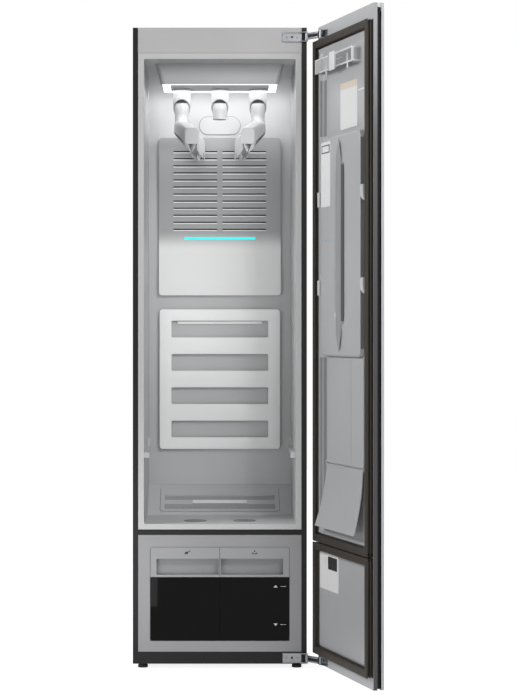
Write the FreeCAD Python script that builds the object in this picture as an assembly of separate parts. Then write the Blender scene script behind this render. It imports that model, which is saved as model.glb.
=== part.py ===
"""Clothes care steam cabinet, door open. Millimetres, +Z up, +X right, +Y towards the back.

The origin is on the floor, on the cabinet's centreline, in the plane of its front face.
The door is modelled closed, in front of that plane, and is then swung to its resting place.
Door sizes are given as w, measured from the hinge side, and n, measured from the back tray's
inner face towards the cabinet.
"""

import FreeCAD, Part
import math
import os

V = FreeCAD.Vector
ALONG_X = V(1, 0, 0)
ALONG_Y = V(0, 1, 0)
UP = V(0, 0, 1)

# ---- clearances
FIT = 0.3               # between pieces that are put together by hand
TIGHT = 0.1             # between pieces that are pressed or clipped together
RUNNING = 0.05          # radial, between a shaft and its bore

# ---- casing
WIDTH = 502.0
HEIGHT = 1850.0         # floor to the top of the casing
DEPTH = 540.0
SHEET = 1.0             # casing steel
FRONT_RETURN = 15.0     # folded front and rear edges of the side panels
FOOT_DROP = 15.0        # underside of the base tray above the floor
BASE_BAND = 34.5        # height of the base tray's front lip
TRAY_LIP = 20.0         # height of the base tray's other lips
DIVIDER_BOTTOM = 387.0
DIVIDER_HEIGHT = 15.0
DIVIDER_DEPTH = 20.0
FASCIA_HEIGHT = 73.0
FASCIA_FLANGE = 25.0
TOP_LIP = 12.0
VENT_ROWS = 8
VENT_PITCH = 14.0
VENT_LENGTH = 260.0
VENT_HEIGHT = 5.0
VENT_BOTTOM = 60.0

# ---- feet
FOOT_INSET_X = 28.0         # from the casing's sides
FOOT_INSET_Y = 40.0         # from its front and back
FOOT_PAD_RADIUS = 14.25
FOOT_PAD_HEIGHT = 8.0
FOOT_NECK_RADIUS = 8.5
STEM_RADIUS = 5.0
STEM_LENGTH = 26.0
NUT_RADIUS = 9.0
NUT_HEIGHT = 8.0

# ---- cavity
FRAME_GAP = 0.5         # between neighbouring front frames
FRAME_THICKNESS = 2.5
FLANGE_SIDE = 16.5      # width of the cavity frame at the sides
FLANGE_BOTTOM = 15.5
FLANGE_TOP = 16.5
LINER = 1.5             # cavity liner sheet
REAR_ROOM = 85.0            # behind the cavity, for the fan
CAVITY_CORNER = 6.0
SLOPE_RUN = 144.0           # depth of the floor's sloped part
FLOOR_SLOPE = 30.0      # degrees

# ---- steam outlets in the floor
OUTLET_X = 72.0
OUTLET_Y = 104.0
OUTLET_RADIUS = 33.0
OUTLET_HEIGHT = 2.5
OUTLET_SPIGOT_RADIUS = 14.0
OUTLET_SPIGOT_LENGTH = 18.0
OUTLET_SLOT_WIDTH = 2.5
OUTLET_SLOTS = 5

# ---- lint filter in the slope; s is measured up the slope from its foot
FILTER_S = 20.0
FILTER_LENGTH = 128.0
FILTER_SIDE_GAP = 38.0      # from the cavity's side walls
FILTER_PLATE = 2.0
FILTER_CORNER = 9.0
FILTER_PAN_FOOT = 8.0       # rim of the cover below the pan
FILTER_PAN_LENGTH = 76.0
FILTER_PAN_RIM = 11.0       # rim beside the pan
FILTER_PAN_DEPTH = 14.0
FILTER_WALL = 1.5
FILTER_BAR_SET = 33.0       # from the pan's lower edge
FILTER_BAR_LENGTH = 21.0
FILTER_BAR_THICKNESS = 4.0
FILTER_HANDLE_WIDTH = 166.0
FILTER_HANDLE_RISE = 3.0
FILTER_CAGE_DEPTH = 26.0
FILTER_CAGE_MARGIN = 6.0

# ---- hanger housing on the ceiling
HOUSING_FRONT = 133.0       # in front of the ports
HOUSING_DEPTH = 239.0
HOUSING_HEIGHT = 60.0
HOUSING_SIDE_GAP = 30.0     # from the cavity's side walls
HOUSING_TAPER = 17.0        # how much each side comes in
HOUSING_WALL = 2.5
HOUSING_CORNER = 14.0
DIFFUSER_THICKNESS = 2.5
PORT_PLATE_SIDE = 26.0      # width of the diffuser beside the plate
PORT_PLATE_FRONT = 69.0     # in front of the ports
PORT_PLATE_DEPTH = 137.0
PORT_PLATE_THICKNESS = 2.0
PORT_PLATE_RECESS = 5.0
PORT_PLATE_LAP = 3.0
PORT_EDGE = 32.0            # from the plate's end to the outer ports
PORT_HOLE_RADIUS = 17.0
COLLAR_RADIUS = 25.8
COLLAR_WALL = 2.5
COLLAR_DROP = 92.0          # collar's front edge below the ceiling
COLLAR_SLANT = 44.0         # degrees, from the front down to the back
RING_HEIGHT = 9.0
RING_DROP = 102.0           # below the ceiling
SERVICE_COVER_DROP = 150.0  # its middle below the ceiling
SERVICE_COVER_WIDTH = 126.0
SERVICE_COVER_HEIGHT = 55.0
SERVICE_COVER_PROUD = 2.5

# ---- hangers and nozzle
SPIGOT_RADIUS = 16.5
SHOULDER_RADIUS = 22.5
SHOULDER_DROP = 119.0       # below the ceiling, as the hanger's other heights
NECK_RADIUS = 20.4
NECK_WALL = 2.2
HANGER_SWIVEL = 2.6         # degrees, resting place; rear ends point to the middle
HANGER_FRONT_GAP = 70.0     # from the front to the tips
HANGER_BACK_GAP = 16.0      # from the tips to the grille
HANGER_CURVE = 34.0         # how far both tips curve to the middle of the cabinet
HANGER_MIDDLE_HALF = 22.0   # half the width under the neck
HANGER_TIP_HALF = 19.5
HANGER_TOP_DROP = 158.0
HANGER_TIP_DROP = 192.0     # top line at the tips
HANGER_CAP_DROP = 239.0     # lower edge of the end caps
HANGER_LOW_DROP = 265.0     # lower edge of the flanks at the tips
HANGER_MIDDLE_DROP = 180.0  # lower edge of the flanks under the neck
HANGER_WALL = 2.2
HANGER_CORNER = 9.0         # round corners of the tips, seen from above
HANGER_STEPS = 5            # sections along each arm
HANGER_ROUND = 8.0          # round edge along the top
HANGER_RIB_AT = 95.0        # cross ribs, from the neck
NOZZLE_DROP = 152.0         # lower end of the middle nozzle

# ---- grille panel and light bar
GRILLE_SIDE_GAP = 31.0      # from the cavity's side walls
GRILLE_RACK_GAP = 43.0      # above the rack
GRILLE_DROP = 189.0         # its top below the ceiling
GRILLE_PROUD = 19.0
GRILLE_VALLEY = 7.0         # how far the face dips at the light bar
GRILLE_WALL = 2.5
GRILLE_CORNER = 10.0
LOUVRE_ROWS = 12
LOUVRE_DROP = 43.0          # top slot below the grille's top
LOUVRE_BAR_GAP = 27.75      # from the lowest slot to the light bar
LOUVRE_HEIGHT = 4.0
LOUVRE_INNER = 8.0
LOUVRE_SIDE = 45.0          # from the slots to the grille's sides
LIGHT_BAR_RISE = 176.0      # above the grille's lower edge
LIGHT_BAR_SIDE = 78.0       # from its ends to the grille's sides
LIGHT_BAR_HEIGHT = 8.0
LIGHT_BAR_DEPTH = 5.0

# ---- storage rack
RACK_SIDE_GAP = 33.0        # from the cavity's side walls
RACK_RISE = 193.0           # above the cavity's floor
RACK_HEIGHT = 431.0
RACK_STAND_OFF = 11.0       # behind the rack's plate
RACK_PLATE = 8.0
RACK_CORNER = 10.0
RACK_WINDOW_SIDE = 37.0     # beside the windows
RACK_WINDOW_HEIGHT = 51.0
RACK_WINDOW_FROM_TOP = 61.3 # to the middle of the top window
RACK_WINDOW_FROM_BOTTOM = 61.6  # to the middle of the lowest window
RACK_WINDOWS = 4
RACK_WINDOW_CORNER = 4.0
PEG_RADIUS = 4.0
PEG_SIDE = 18.0             # from the rack's sides
PEG_INSET = 20.0            # from the rack's ends
BOSS_RADIUS = 8.0
HOOK_RAIL_RISE = 20.3       # above the middle of the top window
HOOK_RAIL_SIDE = 19.0       # shorter than the window at each end
HOOK_RAIL_HEIGHT = 8.0
HOOK_RAIL_DEPTH = 9.0

# ---- shelf brackets on the side walls
BRACKET_Y = 20.0
BRACKET_LENGTH = 323.0
BRACKET_RISE = 205.6        # its ledge above the cavity's floor
BRACKET_WIDTH = 14.0
BRACKET_THICKNESS = 3.0
BRACKET_TAB = 15.6
BRACKET_TAB_LENGTH = 12.0
CLIP_FROM_END = 21.0        # from the bracket's rear end
CLIP_LENGTH = 16.0
CLIP_LIFT = 4.4             # its wide part above the ledge
CLIP_HEIGHT = 28.4          # above the ledge
CLIP_WIDTH = 7.0

# ---- lower bay and tanks
BAY_SIDE = 34.5             # width of the bay frame beside the tanks
BAY_SILL = 31.5             # above the base band
BAY_HEAD = 35.5             # below the divider
BAY_CORNER = 8.0
BAY_TRAY_WALL = 1.5
BAY_TRAY_MARGIN = 1.0       # the tray is wider than the frame's opening by this
TANK_DEPTH = 150.0
TANK_SIDE_GAP = 0.6
TANK_FRONT_HEIGHT = 86.5    # height of the grip fronts
TANK_WALL = 2.0
TANK_FRONT_Y = 1.0
GRIP_SIDE = 18.5            # beside the grip
GRIP_SILL = 6.5             # below the grip
GRIP_HEAD = 33.9            # above the grip
GRIP_DEPTH = 32.0
GRIP_INNER = 3.0            # from the split between the two tanks
FRONT_WALL = 2.0
FILLER_RADIUS = 18.0

# ---- machine compartment
BOILER_SIDE_GAP = 46.0      # from the casing's side
BOILER_Y = 215.0
BOILER_WIDTH = 130.0
BOILER_DEPTH = 110.0
BOILER_HEIGHT = 95.0
BOILER_CORNER = 8.0
BOILER_SPIGOT_RADIUS = 9.0
BOILER_SPIGOT_LENGTH = 15.0
PUMP_SIDE_GAP = 46.0        # from the casing's side
PUMP_GAP = 20.0             # behind the boiler
PUMP_LENGTH = 70.0
PUMP_WIDTH = 46.0
PUMP_HEIGHT = 50.0
PUMP_HEAD_RADIUS = 18.0
HOSE_RADIUS = 9.0
HOSE_WALL = 2.0
HOSE_DROP = 37.0            # level run of the hose below the cavity's floor
COMPRESSOR_SIDE_GAP = 26.0  # from its plate to the casing's side
COMPRESSOR_Y = 300.0
COMPRESSOR_RADIUS = 62.0
COMPRESSOR_HEIGHT = 150.0
COMPRESSOR_DOME = 18.0
COMPRESSOR_FOOT = 3.0
COMPRESSOR_FOOT_HALF = 75.0
EXCHANGER_SIDE_GAP = 51.0   # from the casing's right side
EXCHANGER_BACK_GAP = 50.0   # from the casing's back
EXCHANGER_WIDTH = 240.0
EXCHANGER_DEPTH = 60.0
EXCHANGER_HEIGHT = 170.0
EXCHANGER_END = 3.0
EXCHANGER_FINS = 16
EXCHANGER_FIN = 1.2
PIPE_RADIUS = 4.0
PIPE_ROWS = 4
PIPE_BEND = 14.0
BOARD_BACK_GAP = 50.0       # from the casing's back
BOARD_WIDTH = 220.0
BOARD_DEPTH = 110.0
BOARD_THICKNESS = 1.6
BOARD_STAND_OFF = 8.0
BOARD_POST_RADIUS = 3.0
BOARD_POST_INSET = 8.0
INLET_SIDE_GAP = 71.0       # from the casing's left side
INLET_Z = 240.0
INLET_WIDTH = 48.0
INLET_HEIGHT = 28.0
INLET_DEPTH = 24.0
INLET_FLANGE = 6.0
INLET_FLANGE_THICKNESS = 2.0
INLET_SOCKET_WIDTH = 24.0
INLET_SOCKET_HEIGHT = 16.0
INLET_SOCKET_DEPTH = 14.0

# ---- blower over the ceiling
PLENUM_HALF = 150.0
PLENUM_DEPTH = 120.0
PLENUM_HEIGHT = 26.0
BLOWER_RADIUS = 84.0
BLOWER_HEIGHT = 44.0
FAN_CASE_WALL = 2.0
BLOWER_INLET_RADIUS = 58.0
BLOWER_WHEEL_RADIUS = 74.0
BLOWER_WHEEL_HEIGHT = 30.0
BLOWER_MOTOR_RADIUS = 34.0
BLOWER_MOTOR_HEIGHT = 12.0
SHAFT_RADIUS = 4.0
HUB_RADIUS = 12.0
WHEEL_PLATE = 2.0
WHEEL_BLADE = 1.6
WHEEL_BLADE_DEPTH = 16.0
WHEEL_BLADES = 18

# ---- fan behind the grille
FAN_DROP = 128.0            # below the top slot
FAN_HOLE_RADIUS = 70.0
FAN_CASE_RADIUS = 82.0
FAN_CASE_DEPTH = 44.0
FAN_WHEEL_RADIUS = 68.0
FAN_WHEEL_DEPTH = 24.0
FAN_MOTOR_RADIUS = 30.0
FAN_MOTOR_DEPTH = 28.0

# ---- hinges
HINGE_PIN_INSET = 1.0       # from the casing's side to the cabinet pin
HINGE_PIN_Y = -14.0
DOOR_PIN_W = 60.0           # door pin
DOOR_PIN_N = 12.0
ARM_OPENING = 135.0         # degrees the arms turn from closed to the resting place
DOOR_OPENING = 104.5        # degrees the door turns meanwhile
PIN_RADIUS = 2.5
EYE_RADIUS = 4.5
PLATE_INNER_INSET = 70.0    # from the casing's side
PLATE_OUTER_INSET = 16.0    # from the casing's side
PLATE_BASE = 1.2
PLATE_FLANGE = 2.0
PLATE_HEIGHT = 28.0
UPPER_HINGE_DROP = 41.5     # below the casing's top
LOWER_HINGE_RISE = 1.5      # above the door's lower edge
PLATE_RIM = 7.0             # height of the plate's rim away from the pin
ARM_WEB = 5.0
WING_THICKNESS = 1.5
WING_START_W = 44.0
WING_END_W = 92.0
EAR_THICKNESS = 2.0

# ---- door
DOOR_INSET = 1.0            # narrower than the casing at each side
DOOR_BOTTOM = 17.0
DOOR_GAP = 19.0             # between the closed tray and the cabinet's front
TRAY_DEPTH = 11.0
CHANNEL_DEPTH = 10.8
SKIN_DEPTH = 7.7
DOOR_FLANGE = 15.0          # rims of skin and tray, folded in against the channel
CHANNEL_INSET = 3.0
CHANNEL_GRIP_INSET = 9.0    # at the free edge, where fingers reach in
CHANNEL_SILL = 3.0          # above the door's lower edge
CHANNEL_HEAD = 21.0         # below the door's top
CHANNEL_BAR = 22.0
GASKET_INSET = 3.0
GASKET_BAND = 21.0
GASKET_CLEAR = 0.4          # between the closed gasket and the cabinet
GASKET_SILL = 32.0          # above the door's lower edge
GASKET_HEAD = 43.0          # below the door's top
GASKET_SPLIT_DROP = 24.0    # middle of the split below the divider's middle
GASKET_GAP = 3.0
GASKET_GROOVE = 1.5
LINER_HEIGHT = 4.0
LINER_MARGIN = 1.0
LINER_SHEET = 2.0
LINER_RIDGE_W = 30.0
LINER_RIDGE_WIDTH = 8.0
LINER_RIDGE_RISE = 3.0

# ---- pieces on the door
BAR_START_W = 75.0
BAR_END = 88.0              # from its end to the door's free edge
BAR_HEIGHT = 40.0
BAR_DROP = 105.0            # its top below the door's top
BAR_FACE_N = 28.5
BAR_THICKNESS = 3.0
BAR_ARM_WIDTH = 30.0
BAR_NEAR_ARM = 4.0
CROSS_WIDTH = 2.0
CROSS_RISE = 1.5
CROSS_LENGTH = 58.0
CROSS_W = (140.0, 300.0)
CLIP_W = 220.0
CLIP_PIECE_WIDTH = 34.0
CLIP_OVERHANG = 4.0
CLIP_WRAP = 2.5
BOARD_START_W = 76.0
BOARD_END = 65.0            # from the board to the door's free edge
PRESS_RISE = 887.0          # above the door's lower edge
PRESS_DROP = 185.0          # its top below the trouser bar
PRESS_BACK_N = 4.6
PRESS_FACE_N = 16.5
PRESS_WALL = 3.0
PRESS_CORNER = 20.0
PRESS_PIN_W = 65.0
PRESS_PIN_N = 10.5
PRESS_PIN_RADIUS = 2.0
PRESS_KNUCKLE_RADIUS = 4.5
PRESS_KNUCKLE_HEIGHT = 16.0
RIDGE_W = 270.0
RIDGE_HALF = 22.0
RIDGE_RISE = 9.0
RIDGE_END = 30.0
GROOVE_START_W = 210.0
GROOVE_END_W = 330.0
GROOVE_RISE = 81.0          # above the board's lower edge
GROOVE_DROP = 73.0          # below the board's top
GROOVE_DEPTH = 1.2
TAB_RISE = 172.0            # lower tabs above the board's lower edge
TAB_DROP = 193.0            # upper tabs below the board's top
TAB_HEIGHT = 43.0
TAB_LATCH_N = 22.0
TAB_HINGE_N = 20.0
TAB_HINGE_START_W = 55.0
TAB_HINGE_END_W = 70.0
TAB_LATCH_GAP = 2.0         # from the board to its latch tabs
TAB_LATCH_WIDTH = 23.0
TAB_LIP = 4.0
COVER_START_W = 115.0
COVER_END = 60.0            # from the cover to the door's free edge
COVER_HEIGHT = 297.0
COVER_THICKNESS = 4.0
COVER_SEAM_W = 330.0
COVER_SEAM = 2.0
COVER_GAP = 3.0             # between the lower cover and the press board
FLAP_PIN_DROP = 6.0         # below the cover
FLAP_PIN_N = 8.0
FLAP_PIN_RADIUS = 1.5
FLAP_KNUCKLE_RADIUS = 3.2
FLAP_HEIGHT = 176.0         # from the pin to the lower edge
FLAP_FLARE = 24.0           # how far its lower edge stands out from the pin
FLAP_THICKNESS = 2.2
FLAP_TOP_START_W = 115.0
FLAP_TOP_END = 63.0         # from the flap to the door's free edge, at its pin
FLAP_LOW_START_W = 75.0
FLAP_LOW_END = 70.0         # and at its lower edge
LUG_WIDTH = 6.0
LUG_GAP = 1.5               # beside the flap, which widens below its pin

# ---- worked out from the sizes above
HALF = WIDTH / 2
PANEL_INNER = HALF - SHEET
FRONT_INNER = HALF - FRONT_RETURN
BASE_TOP = FOOT_DROP + SHEET
BAND_TOP = FOOT_DROP + BASE_BAND
DIVIDER_TOP = DIVIDER_BOTTOM + DIVIDER_HEIGHT
FOOT_X = HALF - FOOT_INSET_X
FOOT_FRONT_Y = FOOT_INSET_Y
FOOT_BACK_Y = DEPTH - FOOT_INSET_Y
FASCIA_BOTTOM = HEIGHT - FASCIA_HEIGHT
FRAME_BOTTOM = DIVIDER_TOP + FRAME_GAP
FRAME_TOP = FASCIA_BOTTOM - FRAME_GAP
FRAME_HALF = FRONT_INNER - FRAME_GAP
CAVITY_HALF = FRAME_HALF - FLANGE_SIDE
CAVITY_BOTTOM = FRAME_BOTTOM + FLANGE_BOTTOM
CAVITY_TOP = FRAME_TOP - FLANGE_TOP
SLOPE = math.radians(FLOOR_SLOPE)
CAVITY_BACK_Y = DEPTH - REAR_ROOM
FLOOR_FLAT = CAVITY_BACK_Y - SLOPE_RUN
SLOPE_TOP = CAVITY_BOTTOM + SLOPE_RUN * math.tan(SLOPE)
CEILING_TOP = CAVITY_TOP + LINER
GRILLE_FACE_Y = CAVITY_BACK_Y - GRILLE_PROUD
VALLEY_Y = GRILLE_FACE_Y + GRILLE_VALLEY
FILTER_WIDTH = 2 * (CAVITY_HALF - FILTER_SIDE_GAP)
FILTER_PAN_S = FILTER_S + FILTER_PAN_FOOT
FILTER_PAN_WIDTH = FILTER_WIDTH - 2 * FILTER_PAN_RIM
FILTER_BAR_S = FILTER_PAN_S + FILTER_BAR_SET
PORT_Y = (HANGER_FRONT_GAP + GRILLE_FACE_Y - HANGER_BACK_GAP) / 2
HANGER_REACH = PORT_Y - HANGER_FRONT_GAP
HOUSING_BOTTOM = CAVITY_TOP - HOUSING_HEIGHT
HOUSING_Y = PORT_Y - HOUSING_FRONT
HOUSING_TOP_HALF = CAVITY_HALF - HOUSING_SIDE_GAP
HOUSING_BOTTOM_HALF = HOUSING_TOP_HALF - HOUSING_TAPER
PORT_PLATE_HALF = HOUSING_BOTTOM_HALF - PORT_PLATE_SIDE
PORT_PLATE_Y = PORT_Y - PORT_PLATE_FRONT
PORT_PLATE_Z = HOUSING_BOTTOM + PORT_PLATE_RECESS
COLLAR_BORE = COLLAR_RADIUS - COLLAR_WALL
PORT_X = PORT_PLATE_HALF - PORT_EDGE
PORTS = (-PORT_X, 0.0, PORT_X)
COLLAR_FRONT_Z = CAVITY_TOP - COLLAR_DROP
RING_Z = CAVITY_TOP - RING_DROP
SPIGOT_TOP_Z = HOUSING_BOTTOM
SHOULDER_Z = CAVITY_TOP - SHOULDER_DROP
HANGER_TOP_Z = CAVITY_TOP - HANGER_TOP_DROP
HANGER_TIP_Z = CAVITY_TOP - HANGER_TIP_DROP
HANGER_CAP_Z = CAVITY_TOP - HANGER_CAP_DROP
HANGER_LOW_Z = CAVITY_TOP - HANGER_LOW_DROP
HANGER_MIDDLE_Z = CAVITY_TOP - HANGER_MIDDLE_DROP
NOZZLE_LOW_Z = CAVITY_TOP - NOZZLE_DROP
SERVICE_COVER_Z = CAVITY_TOP - SERVICE_COVER_DROP
RACK_HALF = CAVITY_HALF - RACK_SIDE_GAP
RACK_BOTTOM = CAVITY_BOTTOM + RACK_RISE
RACK_TOP = RACK_BOTTOM + RACK_HEIGHT
RACK_BACK_Y = CAVITY_BACK_Y - RACK_STAND_OFF
RACK_FACE_Y = RACK_BACK_Y - RACK_PLATE
RACK_WINDOW_HALF = RACK_HALF - RACK_WINDOW_SIDE
RACK_WINDOW_PITCH = (RACK_HEIGHT - RACK_WINDOW_FROM_TOP - RACK_WINDOW_FROM_BOTTOM) / (RACK_WINDOWS - 1)
RACK_WINDOW_ZS = [RACK_TOP - RACK_WINDOW_FROM_TOP - i * RACK_WINDOW_PITCH for i in range(RACK_WINDOWS)]
HOOK_RAIL_Z = RACK_WINDOW_ZS[0] + HOOK_RAIL_RISE
HOOK_RAIL_HALF = RACK_WINDOW_HALF - HOOK_RAIL_SIDE
GRILLE_HALF = CAVITY_HALF - GRILLE_SIDE_GAP
GRILLE_BOTTOM = RACK_TOP + GRILLE_RACK_GAP
GRILLE_TOP = CAVITY_TOP - GRILLE_DROP
LIGHT_BAR_Z = GRILLE_BOTTOM + LIGHT_BAR_RISE
LIGHT_BAR_HALF = GRILLE_HALF - LIGHT_BAR_SIDE
LOUVRE_TOP = GRILLE_TOP - LOUVRE_DROP
LOUVRE_PITCH = (LOUVRE_TOP - LIGHT_BAR_Z - LOUVRE_BAR_GAP) / (LOUVRE_ROWS - 1)
LOUVRE_OUTER = GRILLE_HALF - LOUVRE_SIDE
FAN_Z = LOUVRE_TOP - FAN_DROP
BRACKET_TOP = CAVITY_BOTTOM + BRACKET_RISE
CLIP_Y = BRACKET_Y + BRACKET_LENGTH - CLIP_FROM_END
CLIP_BOTTOM = BRACKET_TOP + CLIP_LIFT
CLIP_TOP = BRACKET_TOP + CLIP_HEIGHT
PEG_X = RACK_HALF - PEG_SIDE
PEGS = [(x, z) for x in (-PEG_X, PEG_X) for z in (RACK_BOTTOM + PEG_INSET, RACK_TOP - PEG_INSET)]
BAY_FRAME_BOTTOM = BAND_TOP + FRAME_GAP
BAY_FRAME_TOP = DIVIDER_BOTTOM - FRAME_GAP
BAY_HALF = FRAME_HALF - BAY_SIDE
BAY_BOTTOM = BAND_TOP + BAY_SILL
BAY_TOP = DIVIDER_BOTTOM - BAY_HEAD
TANK_SPLIT = BAY_TOP - TANK_FRONT_HEIGHT
GRIP_HALF = BAY_HALF - GRIP_SIDE
GRIP_BOTTOM = TANK_SPLIT + GRIP_SILL
GRIP_TOP = BAY_TOP - GRIP_HEAD
BOILER_X = BOILER_SIDE_GAP - HALF
PUMP_X = PUMP_SIDE_GAP - HALF
PUMP_Y = BOILER_Y + BOILER_DEPTH + PUMP_GAP
HOSE_RUN_Z = CAVITY_BOTTOM - HOSE_DROP
COMPRESSOR_X = HALF - COMPRESSOR_SIDE_GAP - COMPRESSOR_FOOT_HALF
EXCHANGER_X = HALF - EXCHANGER_SIDE_GAP - EXCHANGER_WIDTH
EXCHANGER_Y = DEPTH - EXCHANGER_BACK_GAP - EXCHANGER_DEPTH
BOARD_Y = DEPTH - BOARD_BACK_GAP - BOARD_DEPTH
INLET_X = INLET_SIDE_GAP - HALF
PLENUM_TOP = CEILING_TOP + PLENUM_HEIGHT
BLOWER_TOP = PLENUM_TOP + BLOWER_HEIGHT
LINER_BACK_Y = CAVITY_BACK_Y + LINER
FAN_CASE_BACK_Y = LINER_BACK_Y + FAN_CASE_DEPTH
FEET = {
    "foot_front_left": (-FOOT_X, FOOT_FRONT_Y),
    "foot_front_right": (FOOT_X, FOOT_FRONT_Y),
    "foot_back_left": (-FOOT_X, FOOT_BACK_Y),
    "foot_back_right": (FOOT_X, FOOT_BACK_Y),
}

DOOR_WIDTH = WIDTH - 2 * DOOR_INSET
DOOR_TOP = HEIGHT
CHANNEL_BOTTOM = DOOR_BOTTOM + CHANNEL_SILL
CHANNEL_TOP = DOOR_TOP - CHANNEL_HEAD
GASKET_HEIGHT = DOOR_GAP - GASKET_CLEAR
GASKET_BOTTOM = DOOR_BOTTOM + GASKET_SILL
GASKET_TOP = DOOR_TOP - GASKET_HEAD
GASKET_SPLIT = (DIVIDER_BOTTOM + DIVIDER_TOP) / 2 - GASKET_SPLIT_DROP
BAR_END_W = DOOR_WIDTH - BAR_END
BAR_TOP = DOOR_TOP - BAR_DROP
BAR_BOTTOM = BAR_TOP - BAR_HEIGHT
BOARD_END_W = DOOR_WIDTH - BOARD_END
PRESS_BOTTOM = DOOR_BOTTOM + PRESS_RISE
PRESS_TOP = BAR_BOTTOM - PRESS_DROP
GROOVE_BOTTOM = PRESS_BOTTOM + GROOVE_RISE
GROOVE_TOP = PRESS_TOP - GROOVE_DROP
TAB_BOTTOMS = (PRESS_BOTTOM + TAB_RISE, PRESS_TOP - TAB_DROP)
TAB_LATCH_START_W = BOARD_END_W + TAB_LATCH_GAP
TAB_LATCH_END_W = TAB_LATCH_START_W + TAB_LATCH_WIDTH
COVER_END_W = DOOR_WIDTH - COVER_END
COVER_TOP = PRESS_BOTTOM - COVER_GAP
COVER_BOTTOM = COVER_TOP - COVER_HEIGHT
FLAP_PIN_Z = COVER_BOTTOM - FLAP_PIN_DROP
FLAP_BOTTOM = FLAP_PIN_Z - FLAP_HEIGHT
FLAP_TOP_END_W = DOOR_WIDTH - FLAP_TOP_END
FLAP_LOW_END_W = DOOR_WIDTH - FLAP_LOW_END
HINGE_PIN_X = HALF - HINGE_PIN_INSET
PLATE_INNER_X = HALF - PLATE_INNER_INSET
PLATE_OUTER_X = HALF - PLATE_OUTER_INSET
UPPER_HINGE_Z = HEIGHT - UPPER_HINGE_DROP
LOWER_HINGE_Z = DOOR_BOTTOM + LOWER_HINGE_RISE
HINGE_SIDE_X = DOOR_WIDTH / 2
CABINET_PIN = V(HINGE_PIN_X, HINGE_PIN_Y, 0)
DOOR_PIN_CLOSED = V(HINGE_SIDE_X - DOOR_PIN_W, DOOR_PIN_N - DOOR_GAP, 0)
DOOR_PIN_OPEN = CABINET_PIN + FreeCAD.Rotation(UP, ARM_OPENING).multVec(DOOR_PIN_CLOSED - CABINET_PIN)
TRAY_BACK_N = -TRAY_DEPTH
CHANNEL_BACK_N = TRAY_BACK_N - CHANNEL_DEPTH
SKIN_FACE_N = CHANNEL_BACK_N - SKIN_DEPTH


# ---- shapes
def block(x0, x1, y0, y1, z0, z1):
    return Part.makeBox(x1 - x0, y1 - y0, z1 - z0, V(x0, y0, z0))


def rod(radius, start, end):
    along = end - start
    return Part.makeCylinder(radius, along.Length, start, along)


def tube(outer, inner, start, end):
    return rod(outer, start, end).cut(rod(inner, start, end))


def prism(points, along):
    """A closed outline of points, pushed along a vector."""
    return Part.Face(Part.makePolygon(points + points[:1])).extrude(along)


def fused(first, *others):
    return first.multiFuse(list(others)).removeSplitter()


def rounded(shape, radius, direction):
    """The shape with its straight edges along a direction rounded."""
    edges = [e for e in shape.Edges if abs(e.tangentAt(e.FirstParameter).dot(direction)) > 0.999]
    return shape.makeFillet(radius, edges)


def plate_xz(half, y0, y1, z0, z1, corner):
    """A plate facing the front, centred on X = 0, with round corners."""
    return rounded(block(-half, half, y0, y1, z0, z1), corner, ALONG_Y)


def mirrored(shape):
    return shape.mirror(V(0, 0, 0), ALONG_X)


def revolved(profile, x, y):
    """A profile of (radius, z) points turned about the upright line at x, y."""
    points = [V(x + radius, y, z) for radius, z in profile]
    face = Part.Face(Part.makePolygon(points + points[:1]))
    return face.revolve(V(x, y, 0), UP, 360)


def save(name, *shapes):
    solids = [solid for shape in shapes for solid in shape.Solids]
    for solid in solids:
        if not solid.isValid() or solid.Volume <= 0:
            raise ValueError(f"{name} holds a bad solid")
    whole = solids[0] if len(solids) == 1 else Part.makeCompound(solids)
    whole.exportStep(f"parts/{name}.step")


# ---- casing
def side_panel():
    """The left panel: a wall with its front and rear edges folded inwards."""
    wall = block(-HALF, -PANEL_INNER, 0, DEPTH, FOOT_DROP, HEIGHT)
    front = block(-HALF, -FRONT_INNER, 0, SHEET, FOOT_DROP, HEIGHT)
    rear = block(-HALF, -FRONT_INNER, DEPTH - SHEET, DEPTH, FOOT_DROP, HEIGHT)
    return fused(wall, front, rear)


def top_panel():
    back = DEPTH - SHEET
    sheet = block(-PANEL_INNER, PANEL_INNER, SHEET, back, HEIGHT - SHEET, HEIGHT)
    low = HEIGHT - TOP_LIP
    left = block(-PANEL_INNER, -PANEL_INNER + SHEET, SHEET, back, low, HEIGHT)
    right = block(PANEL_INNER - SHEET, PANEL_INNER, SHEET, back, low, HEIGHT)
    return fused(sheet, left, right)


def back_panel():
    """The rear sheet, with a field of vents and a cut-out for the power inlet."""
    outer = DEPTH - SHEET
    inner_half = PANEL_INNER - SHEET
    sheet = block(-inner_half, inner_half, outer - SHEET, outer, BASE_TOP, HEIGHT - SHEET)
    cuts = []
    for row in range(VENT_ROWS):
        z = VENT_BOTTOM + row * VENT_PITCH
        cuts.append(block(-VENT_LENGTH / 2, VENT_LENGTH / 2, outer - 2 * SHEET, outer + SHEET,
                          z, z + VENT_HEIGHT))
    cuts.append(block(INLET_X - INLET_WIDTH / 2 - FIT, INLET_X + INLET_WIDTH / 2 + FIT,
                      outer - 2 * SHEET, outer + SHEET,
                      INLET_Z - INLET_HEIGHT / 2 - FIT, INLET_Z + INLET_HEIGHT / 2 + FIT))
    return sheet.cut(Part.makeCompound(cuts))


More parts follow.
